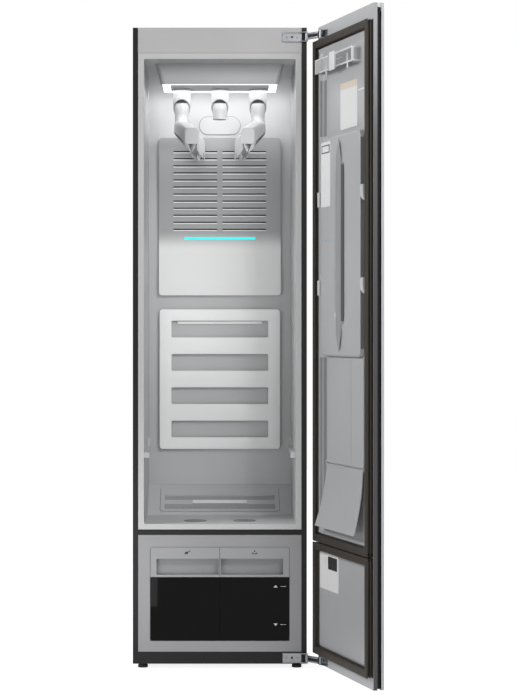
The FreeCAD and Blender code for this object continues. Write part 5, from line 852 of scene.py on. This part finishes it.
class CABINET_OT_tanks(bpy.types.Operator):
    """Finish the water tanks: glossy bodies, grip fronts, pictograms and level marks"""
    bl_idname = "cabinet.tanks"
    bl_label = "Water tanks"

    def execute(self, context):
        dress("black_abs", "bay_tray")
        dress("glossy_san", "fill_tank", "drain_tank")
        dress("tank_front_abs", "fill_tank_front", "drain_tank_front")
        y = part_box("fill_tank_front")[0][1] / MM
        face = (y - 0.12, y + 0.05)
        can = join(plate([(-102, 331), (-93, 331), (-91, 338), (-100, 338)], *face),
                   plate([(-92.5, 334), (-86, 340.5), (-87.5, 341.5), (-93.5, 336.5)], *face),
                   plate([(-89, 342.5), (-84.5, 340), (-85.5, 339), (-90, 341.5)], *face))
        piece("fill_pictogram", "fill_tank", "black_vinyl", can, front)
        bowl = join(plate([(92, 336), (94.5, 336), (95.5, 333.5), (105.5, 333.5), (106.5, 336), (109, 336),
                           (107, 331), (94, 331)], *face),
                    plate([(100.5, 343.5), (102.6, 339.5), (101.9, 337.4), (100.5, 336.8), (99.1, 337.4),
                           (98.4, 339.5)], *face))
        piece("drain_pictogram", "drain_tank", "black_vinyl", bowl, front)
        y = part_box("drain_tank")[0][1] / MM
        # A level tick above and below, with a plain arrowhead that points up or down beside it.
        marks = [round_rect(175, 191, z - 0.6, z + 0.6, 0.5, 3) for z in (238, 128)]
        marks += [[(155, 235), (167, 235), (161, 242)], [(155, 131), (161, 124), (167, 131)]]
        marks = [plate(mark, y - 0.1, y + 0.05) for mark in marks]
        piece("level_marks", "drain_tank", "white_ink", join(*marks), front)
        opening = (-BAY_HALF, BAY_HALF, BAY_BOTTOM, BAY_TOP)
        piece("bay_seam", "cabinet", "seam_abs",
              rim_round(opening, BAY_CORNER, 0.6, -0.1, 0.4, inset=0.3), front)
        # Dark fillings that square the opening's two lower corners.
        corners = []
        for side in (-1, 1):
            outline = [(side * BAY_HALF, BAY_BOTTOM)]
            for t in range(0, 91, 15):
                turn = math.radians(t)
                outline.append((side * (BAY_HALF - BAY_CORNER + BAY_CORNER * math.sin(turn)),
                                BAY_BOTTOM + BAY_CORNER - BAY_CORNER * math.cos(turn)))
            corners.append(plate(outline, -0.2, 0.3))
        piece("bay_corners", "cabinet", "black_abs", join(*corners), front)
        split = bar(-1.0, -0.3, TANK_SPLIT + 1, BAY_TOP - 0.6, 0.85, 1.0)
        piece("tank_split_seal", "fill_tank", "seam_abs", split, front)
        return {"FINISHED"}


class CABINET_OT_machine(bpy.types.Operator):
    """Finish the machine pieces: boiler, compressor, fans, exchanger and board"""
    bl_idname = "cabinet.machine"
    bl_label = "Machine"

    def execute(self, context):
        dress("black_coated_steel", "compressor")
        dress("zinc_sheet", "steam_generator", "fan_motors")
        dress("aluminium", "heat_exchanger")
        dress("black_rubber", "steam_hose")
        dress("black_abs", "fan_cases", "blower_wheel", "fan_wheel")
        dress("circuit_board", "control_board")
        return {"FINISHED"}


class CABINET_OT_hinges(bpy.types.Operator):
    """Finish the hinges and add their second links, covers and screws"""
    bl_idname = "cabinet.hinges"
    bl_label = "Hinges"

    def execute(self, context):
        dress("plated_zinc", "hinge_plates", "hinge_arms", "hinge_wings")
        spots = [(x, z, 1.25) for z in HINGE_PLATE_ZS for x in (192, 224)]
        screw_heads("hinge_screws", "cabinet", spots, facing, radius=3.0, rise=1.2)
        # Dark discs over the adjusting holes, as painted shade in them.
        hole = lathe([(3.4, 1.2), (3.4, 1.5)], 24)
        holes = [put(hole, lambda a, b, c, z=z: (208 + a, z + b, c)) for z in HINGE_PLATE_ZS]
        piece("hinge_adjusters", "cabinet", "black_abs", join(*holes), facing)
        # Each arm's outer side: two bright links, the dark gap between them and a dark stop.
        covers, slots = [], []
        for low in HINGE_ARM_ZS:
            covers += [bar(8, 52, low + a, low + a + 4.2, 0, 1.1) for a in (1.2, 13.4)]
            slots.append(bar(8.5, 51.5, low + 5.4, low + 13.4, 0, 0.35))
            slots.append(bar(54.5, 58, low + 0.8, low + 18, 0.9, 2.2))
        piece("hinge_links", "hinge_arm_pair", "plated_zinc", join(*covers), on_arm, edge=0.4)
        piece("hinge_slots", "hinge_arm_pair", "black_abs", join(*slots), on_arm)
        spots = [(78, z, 1.55) for z in (27, 38, 1817, 1828)]
        screw_heads("wing_screws", "door", spots, on_door, radius=2.6, rise=1.2)
        return {"FINISHED"}


def seal_ring(z0, z1, groove):
    """A ribbed seal round a rectangle in door sizes, with mitred corners."""
    w0, w1 = GASKET_INSET, DOOR_WIDTH - GASKET_INSET
    # From the edge inwards and off the tray: two grooves in the outer flank, a flat lip, a hollow.
    profile = [(0, 0), (0, 1), (groove, 1.6), (groove, 6), (0.6, 7), (0.6, 8.6), (groove, 9.6),
               (groove, 14), (0, 15), (0, 17.6), (1, GASKET_HEIGHT), (18, GASKET_HEIGHT), (20.6, 17.8),
               (20.6, 14.4), (17.5, 12.5), (17.5, 10), (20.8, 7.5), (20.8, 0)]
    points, faces = [], []
    for row, (o, n) in enumerate(profile):
        points += [(w0 + o, z0 + o, n), (w1 - o, z0 + o, n), (w1 - o, z1 - o, n), (w0 + o, z1 - o, n)]
        here, after = row * 4, (row + 1) % len(profile) * 4
        faces += [(here + i, here + (i + 1) % 4, after + (i + 1) % 4, after + i) for i in range(4)]
    return points, faces


class CABINET_OT_door_shell(bpy.types.Operator):
    """Finish the door's skin, channel and tray, and make its ribbed seals and end caps"""
    bl_idname = "cabinet.door_shell"
    bl_label = "Door shell"

    def execute(self, context):
        dress("silver_coated_steel", "door_skin")
        dress("black_abs", "door_channel")
        dress("tray_sheet", "door_tray")
        groove = context.scene.cabinet_sizes.rib / MM
        lower = seal_ring(GASKET_BOTTOM, GASKET_SPLIT - GASKET_GAP / 2, groove)
        upper = seal_ring(GASKET_SPLIT + GASKET_GAP / 2, GASKET_TOP, groove)
        seals = piece("ribbed_seals", "door", "extruded_seal", join(lower, upper), on_door, edge=0.5)
        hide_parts("door_gaskets")
        cap = bar(300, DOOR_WIDTH - 0.1, DOOR_TOP - END_CAP, DOOR_TOP - 0.2,
                  CHANNEL_BACK + 0.1, CHANNEL_FRONT - 0.1)
        piece("top_end_cap", "door", "door_abs", cap, on_door, edge=0.6)
        # A black plate at the back of the grip gap beyond the channel's end, as painted shade in the gap.
        shade = bar(CHANNEL_END, DOOR_WIDTH - 0.6, DOOR_BOTTOM + 3, CHANNEL_TOP,
                    CHANNEL_BACK, CHANNEL_BACK + 0.4)
        piece("grip_liner", "door", "black_abs", shade, on_door)
        return {"FINISHED"}


def liner_face(w, z):
    """How far the formed liner stands off the tray."""
    edge = min(LINER_END - w, z - LINER_BOTTOM, LINER_TOP - z)
    rim = 3.0 * (1 - smooth_step(edge, 3, 14))
    # A ridge runs beside the hinges, with a long valley next to it.
    ridge = (2.6 + 3.0 * smooth_step(w, LINER_START, 46)) * (1 - smooth_step(w, 47, 53))
    valley = 3.2 * plateau(w, 47, 53, 84, 104) * plateau(z, 402, 440, 1725, 1770)
    # The upper panel, which carries the trouser bar, stands a little proud.
    panel = 1.6 * plateau(w, 100, 112, 455, 462) * plateau(z, 1530, 1542, 1752, 1762)
    return LINER_HEIGHT + rim + ridge * smooth_step(edge, 0, 30) - valley + panel


def press_face(w, z):
    """The press board's face: a long groove, and a spine in it that runs to a point at both ends."""
    from_edge = min(w - PRESS_START, z - PRESS_BOTTOM, PRESS_TOP - z)
    n = PRESS_FACE - 3.0 * (1 - smooth_step(from_edge, 0, 5) * smooth_step(PRESS_END - w, -3, 2))
    middle = min(max(z, GROOVE_BOTTOM + GROOVE_HALF), GROOVE_TOP - GROOVE_HALF)
    inside = GROOVE_HALF - math.hypot(w - SPINE_W, z - middle)
    n -= bpy.context.scene.cabinet_sizes.groove / MM * smooth_step(inside, -1.5, 3.5)
    run = plateau(z, PRESS_BOTTOM + 8, PRESS_BOTTOM + 75, PRESS_TOP - 75, PRESS_TOP - 8)
    left, right = SPINE_W - SPINE_HALF * run, SPINE_W + SPINE_HALF * run
    spine = plateau(w, left, left + 1 + 16 * run, right - 2.5, right + 0.5)
    return n + (PRESS_FACE + 4.0 - n) * spine


def press_corner(w, z):
    """Draws a point near the press board's corners in, so that they come out round."""
    cw = min(max(w, PRESS_START + PRESS_CORNER), PRESS_END - PRESS_CORNER)
    cz = min(max(z, PRESS_BOTTOM + PRESS_CORNER), PRESS_TOP - PRESS_CORNER)
    dw, dz = w - cw, z - cz
    if not (dw and dz):
        return w, z
    pull = max(abs(dw), abs(dz)) / math.hypot(dw, dz)
    return cw + dw * pull, cz + dz * pull


class CABINET_OT_door_liner(bpy.types.Operator):
    """Make the door's formed liner, with its ridges, long valley and upper panel"""
    bl_idname = "cabinet.door_liner"
    bl_label = "Door liner"

    def execute(self, context):
        # The grid's lines lie close together where the face bends.
        ws = [25, 26.5, 29, 32, 36, 40, 44, 48, 52, 56, 60, 66, 76, 84, 88, 92, 96, 100, 104, 108, 112, 130,
              *range(150, 401, 50), 440, 452, 456, 459, 462, 465, 468, 471, 473.5, 475]
        zs = [397, 398.5, 401, 404, 408, 412, 420, 430, 440, *range(460, 1461, 50), 1500, 1530, 1534,
              1538, 1542, 1600, 1680, 1725, 1735, 1745, 1752, 1755, 1758, 1762, 1766, 1770, 1774, 1778,
              1780.5, 1782]
        upper = relief_plate(ws, zs, liner_face, 0.05)
        lower = plate(round_rect(LINER_START, LINER_END, 74, 344, 3), 0.05, LINER_HEIGHT)
        made = piece("formed_liner", "door", "door_abs", join(upper, lower), on_door, sharp=50)
        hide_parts("door_liner")
        return {"FINISHED"}


class CABINET_OT_press_board(bpy.types.Operator):
    """Make the press board, with the spine in its long groove, and the painted shade in its slot, on its
    spine and along its side
    """
    bl_idname = "cabinet.press_board"
    bl_label = "Press board"

    def execute(self, context):
        # The grid's lines lie close together at the board's edges and round its groove and spine.
        ws = {76, 77, 78, 79, 81, 84, 95, 120, 150, 170, 182, 305, 325, 340, 370, 400, 427, 430, 432, 433,
              434, 435}
        ws |= {SPINE_W + step for step in (*range(-53, -44), *range(-36, 25, 2), 23, 24.5, 25.5, 26.5, 27.5,
                                           *range(45, 54))}
        zs = [904, 905, 906, 907, 909, 912, 920, *range(926, 983, 8), *range(984, 995, 2),
              *range(1000, 1049, 6), *range(1060, 1361, 30), *range(1384, 1433, 6), *range(1436, 1449, 2),
              *range(1456, 1505, 8), 1512, 1515, 1517, 1518, 1519, 1520]
        board = relief_plate(sorted(ws), zs, press_face, PRESS_BACK, press_corner)
        made = piece("press_board_face", "press_board", "door_abs", board, on_door, sharp=50)
        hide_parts("press_board")
        # A dark plate on the spine's far side and at the slot's end, as painted shade in the slot that the
        # fingers reach into.
        wall = SPINE_W + 26.6
        slot = join(bar(wall, wall + 1.2, 1002, 1434, 10.6, PRESS_FACE + 3.4),
                    bar(wall, wall + 9, 1436, 1443, 10.6, PRESS_FACE - 1.2))
        piece("press_slot_lining", "press_board", "outlet_abs", slot, on_door)
        # A dark plate along the board's free edge, as painted shade on its side.
        flank = bar(PRESS_END - 0.1, PRESS_END + 0.4, 926, 1498, PRESS_BACK + 0.4, PRESS_FACE - 1.4)
        piece("press_board_flank", "press_board", "outlet_abs", flank, on_door)
        # A darker strip on the spine's face, as painted shade, which runs to a point at both ends.
        low, high = PRESS_BOTTOM + 60, PRESS_TOP - 60
        strip = [(SPINE_W + SPINE_HALF, low), (SPINE_W + SPINE_HALF, high), (SPINE_W + 8, PRESS_TOP - 14),
                 (SPINE_W - 17, high), (SPINE_W - 17, low), (SPINE_W + 8, PRESS_BOTTOM + 14)]
        piece("press_spine_strip", "press_board", "spine_abs",
              plate(strip, PRESS_FACE + 3.0, PRESS_FACE + 4.6), on_door, edge=0.4)
        return {"FINISHED"}


class CABINET_OT_door_fittings(bpy.types.Operator):
    """Finish the trouser bar, cover and flap, and make the board's clips and knuckles"""
    bl_idname = "cabinet.door_fittings"
    bl_label = "Door fittings"

    def execute(self, context):
        dress("door_abs", "trouser_bar", "lower_cover", "hem_flap")
        # The liner's long valley beside the hinges gets a darker grey plate, as painted shade in the
        # valley.
        ws = [47, 48, 49, 50, 51, 52, 53, 60, 68, 76, 84]
        valley_shades = [relief_plate(ws, zs, lambda w, z: liner_face(w, z) + 0.2, 0.2)
                    for zs in ([440, 520, 600, 700, 800, 900], [1530, 1538, 1560, 1600, 1650, 1690])]
        piece("liner_recess", "door", "recess_abs", join(*valley_shades), on_door, sharp=50)
        # The trouser bar: pale rims along its top and ends, two crosses, a clip, and a dark field as
        # painted shade of the bar's shadowed inside.
        rims = [bar(BAR_START, BAR_END, BAR_TOP - BAR_RIM, BAR_TOP, BAR_FACE, 33)]
        rims += [bar(w, w + BAR_RIM, BAR_BOTTOM, BAR_TOP - 3, BAR_FACE, 33)
                 for w in (BAR_START, BAR_END - BAR_RIM)]
        for w in (185, 376):
            rims.append(bar(w - 1.8, w + 1.8, BAR_BOTTOM - 16, BAR_TOP - 15, BAR_FACE, 35))
            rims.append(bar(w - 65, w + 33, BAR_BOTTOM - 1, BAR_BOTTOM + 2.5, BAR_FACE, 33.4))
        piece("trouser_bar_rims", "door", "rack_abs", join(*rims), on_door, edge=0.5)
        clip = plate(round_rect(213, 260, BAR_BOTTOM - 5, BAR_TOP + 6, 2), BAR_FACE, 34.6)
        piece("trouser_bar_clip", "door", "rack_abs", clip, on_door, edge=0.6)
        field = plate(round_rect(266, 407, BAR_BOTTOM + 5, BAR_TOP - 5, 2), BAR_FACE, BAR_FACE + 0.4)
        piece("trouser_bar_field", "door", "recess_abs", field, on_door)
        end = band(round_rect(4.2, 31, BAR_BOTTOM + 0.2, BAR_TOP - 0.2, 3),
                   round_rect(7.5, 27.5, BAR_BOTTOM + 4, BAR_TOP - 4, 2), BAR_END - 0.4, BAR_END + 0.8)
        piece("trouser_bar_end", "door", "rack_abs", put(end, across_door), on_door, edge=0.3)
        # The board's clips: blocks that carry its pins, and hooks beside its free edge.
        clips, knuckles = [], []
        for low in CLIP_ZS:
            high = low + CLIP_RISE
            clips.append(plate(round_rect(55, 70, low, high, 4), LINER_HEIGHT, 20))
            hook = [(LINER_HEIGHT, low), (LINER_HEIGHT, high), (15.5, high), (17.2, high - 1.5),
                    (17.5, high - 4), (17.5, low + 20), (16.8, low + 14), (14.6, low + 7), (11, low + 2),
                    (8, low)]
            clips.append(put(plate(hook, 437, 460), across_door))
        made = piece("board_clips", "door", "clear_abs", join(*clips), on_door, edge=0.8)
        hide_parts("board_tabs")
        # The board's own knuckles turn on the pins, above the blocks.
        for low in KNUCKLE_ZS:
            pin = lathe([(4.5, low), (4.5, low + 16)], 24)
            knuckles.append(put(pin, lambda a, b, z: (65 + a, z, 10.5 + b)))
            knuckles.append(bar(65, 80, low, low + 16, 9, 12))
        piece("press_knuckles", "press_board", "door_abs", join(*knuckles), on_door, edge=0.5)
        return {"FINISHED"}


class CABINET_OT_labels(bpy.types.Operator):
    """Make the bare label plates and thin lines on the door"""
    bl_idname = "cabinet.labels"
    bl_label = "Bare labels"

    def execute(self, context):
        thick = context.scene.cabinet_sizes.label / MM

        def label(name, body, key, w0, w1, z0, z1, n, radius=2.0, layer=0):
            """A thin plate on the face at n, over as many other plates as its layer says."""
            base = n + layer * thick
            shape = plate(round_rect(w0, w1, z0, z1, radius, 3), base, base + thick)
            piece(name, body, key, shape, on_door)

        label("liner_label", "door", "label_vinyl", 228, 378, 1533, 1661, LINER_PANEL)
        label("liner_label_head", "door", "cream_vinyl", 228, 378, 1643, 1661, LINER_PANEL, layer=1)
        label("board_label", "press_board", "label_vinyl", 81, 168, 1326, 1509, PRESS_FACE)
        label("board_label_head", "press_board", "black_vinyl", 88, 162, 1477, 1500, PRESS_FACE, 1, 1)
        label("board_label_field", "press_board", "label_vinyl", 94, 156, 1480, 1497, PRESS_FACE, 1, 2)
        label("tank_label", "door", "label_vinyl", 30, 205, 240, 344, LINER_HEIGHT)
        label("tank_label_head", "door", "black_vinyl", 108, 192, 300, 336, LINER_HEIGHT, 1, 1)
        label("board_line", "press_board", "blue_vinyl", 88, 160, 1229, 1232, PRESS_FACE)
        label("liner_line", "door", "label_vinyl", 384, 440, 1627, 1631, LINER_PANEL)
        return {"FINISHED"}


def seen_directly(tree):
    """1 for what the camera sees, straight or in metal and glass, and 0 for light on the object."""
    path = add(tree, "LightPath")
    either = add(tree, "Math", {0: path.outputs["Is Camera Ray"], 1: path.outputs["Is Glossy Ray"]},
                 operation="MAXIMUM")
    return add(tree, "Math", {0: either.outputs[0], 1: path.outputs["Is Transmission Ray"]},
               operation="MAXIMUM").outputs[0]


def lamp(name, place, target, width, height, power, spread=180):
    """A soft lamp at a place, aimed at a target; a smaller spread in degrees narrows its beam."""
    data = bpy.data.lights.new(name, "AREA")
    data.shape, data.size, data.size_y, data.energy = "RECTANGLE", width, height, power
    data.spread = math.radians(spread)
    made = bpy.data.objects.new(name, data)
    bpy.context.scene.collection.objects.link(made)
    made.location = place
    made.rotation_euler = (Vector(target) - Vector(place)).to_track_quat("-Z", "Y").to_euler()
    made.visible_camera = False


class CABINET_OT_studio(bpy.types.Operator):
    """Make the floor, the lamps, the surround and the camera"""
    bl_idname = "cabinet.studio"
    bl_label = "Studio"

    def execute(self, context):
        scene = context.scene
        scene.view_settings.view_transform = "Standard"
        # A pale matt floor: white to the camera where it is lit, and darker in the shadow.
        mesh = bpy.data.meshes.new("floor")
        mesh.from_pydata([(-9, -9, 0), (9, -9, 0), (9, 9, 0), (-9, 9, 0)], [], [(0, 1, 2, 3)])
        floor = bpy.data.objects.new("floor", mesh)
        scene.collection.objects.link(floor)
        material, tree, shader = surface("studio_floor", linear("#E4E4E4"), 0.9)
        # The lift is what the lit floor lacks of white, so only the shadow stays below it.
        lift = add(tree, "Emission", {"Color": (1, 1, 1, 1), "Strength": 0.85})
        both = add(tree, "AddShader", {0: shader.outputs[0], 1: lift.outputs[0]})
        seen = seen_directly(tree)
        mixed = add(tree, "MixShader", {"Fac": seen, 1: shader.outputs[0], 2: both.outputs[0]})
        tree.links.new(mixed.outputs[0], tree.nodes["Material Output"].inputs["Surface"])
        mesh.materials.append(material)
        # A plain surround: white to the camera and in metal, softer as light.
        world = bpy.data.worlds.new("surround")
        world.use_nodes = True
        tree = world.node_tree
        tree.nodes.clear()
        soft = add(tree, "Background", {"Color": (1, 1, 1, 1), "Strength": 0.16})
        full = add(tree, "Background", {"Color": (1, 1, 1, 1), "Strength": 1.0})
        mixed = add(tree, "MixShader", {"Fac": seen_directly(tree), 1: soft.outputs[0], 2: full.outputs[0]})
        out = add(tree, "OutputWorld")
        tree.links.new(mixed.outputs[0], out.inputs["Surface"])
        scene.world = world
        lamp("main", (1.3, -2.8, 2.3), (0.0, 0.0, 1.1), 0.9, 0.9, 47)
        lamp("front_fill", (0.3, -4.8, 1.2), (0.0, 0.0, 1.0), 1.4, 1.4, 16)
        lamp("door_side", (-2.4, -0.9, 2.2), (0.3, -0.1, 1.4), 0.9, 0.9, 44)
        lamp("low_left", (-0.45, -0.95, 0.3), (-0.24, 0.0, 0.22), 0.5, 0.5, 0.46, spread=60)
        lamp("opening_fill", (-0.08, -0.015, 1.1), (0.05, 0.45, 1.1), 0.22, 0.5, 0.18, spread=100)
        # The cabinet's own lamp: the diffuser's light on the cavity and on its back wall.
        lamp("cavity_lamp", (0.0, 0.232, 1.694), (0.0, 0.232, 1.0), 0.34, 0.22, 0.62)
        lamp("back_wall_lamp", (0.0, 0.34, 1.692), (0.0, 0.455, 1.58), 0.43, 0.05, 0.46)
        data = bpy.data.cameras.new("camera")
        camera = bpy.data.objects.new("camera", data)
        scene.collection.objects.link(camera)
        camera.location = (0.0, -6.28, 0.975)
        camera.rotation_euler = (math.pi / 2, 0.0, 0.0)
        data.lens, data.shift_x, data.shift_y = 113.42, 0.0567, -0.0210
        scene.camera = camera
        return {"FINISHED"}


OPERATORS = (CABINET_OT_casing, CABINET_OT_cavity, CABINET_OT_housing, CABINET_OT_hangers,
             CABINET_OT_grille, CABINET_OT_rack, CABINET_OT_tanks, CABINET_OT_machine, CABINET_OT_hinges,
             CABINET_OT_door_shell, CABINET_OT_door_liner, CABINET_OT_press_board,
             CABINET_OT_door_fittings, CABINET_OT_labels, CABINET_OT_studio)


class CABINET_PT_panel(bpy.types.Panel):
    """Lists the cabinet's pieces"""
    bl_idname = "CABINET_PT_panel"
    bl_label = "Steam cabinet"
    bl_space_type = "VIEW_3D"
    bl_region_type = "UI"
    bl_category = "Cabinet"

    def draw(self, context):
        for group in (context.scene.cabinet_colours, context.scene.cabinet_sizes):
            for name in group.__annotations__:
                self.layout.prop(group, name)
        for operator in OPERATORS:
            self.layout.operator(operator.bl_idname)


CLASSES = (CabinetColours, CabinetSizes, *OPERATORS, CABINET_PT_panel)


def register():
    """Adds the classes and the scene's two property groups."""
    for cls in CLASSES:
        bpy.utils.register_class(cls)
    bpy.types.Scene.cabinet_colours = PointerProperty(type=CabinetColours)
    bpy.types.Scene.cabinet_sizes = PointerProperty(type=CabinetSizes)


def unregister():
    """Takes them away again."""
    del bpy.types.Scene.cabinet_sizes
    del bpy.types.Scene.cabinet_colours
    for cls in reversed(CLASSES):
        bpy.utils.unregister_class(cls)


def main():
    """Builds the scene in the operators' order."""
    register()
    for operator in OPERATORS:
        group, name = operator.bl_idname.split(".")
        getattr(getattr(bpy.ops, group), name)()


if __name__ == "__main__":
    main()
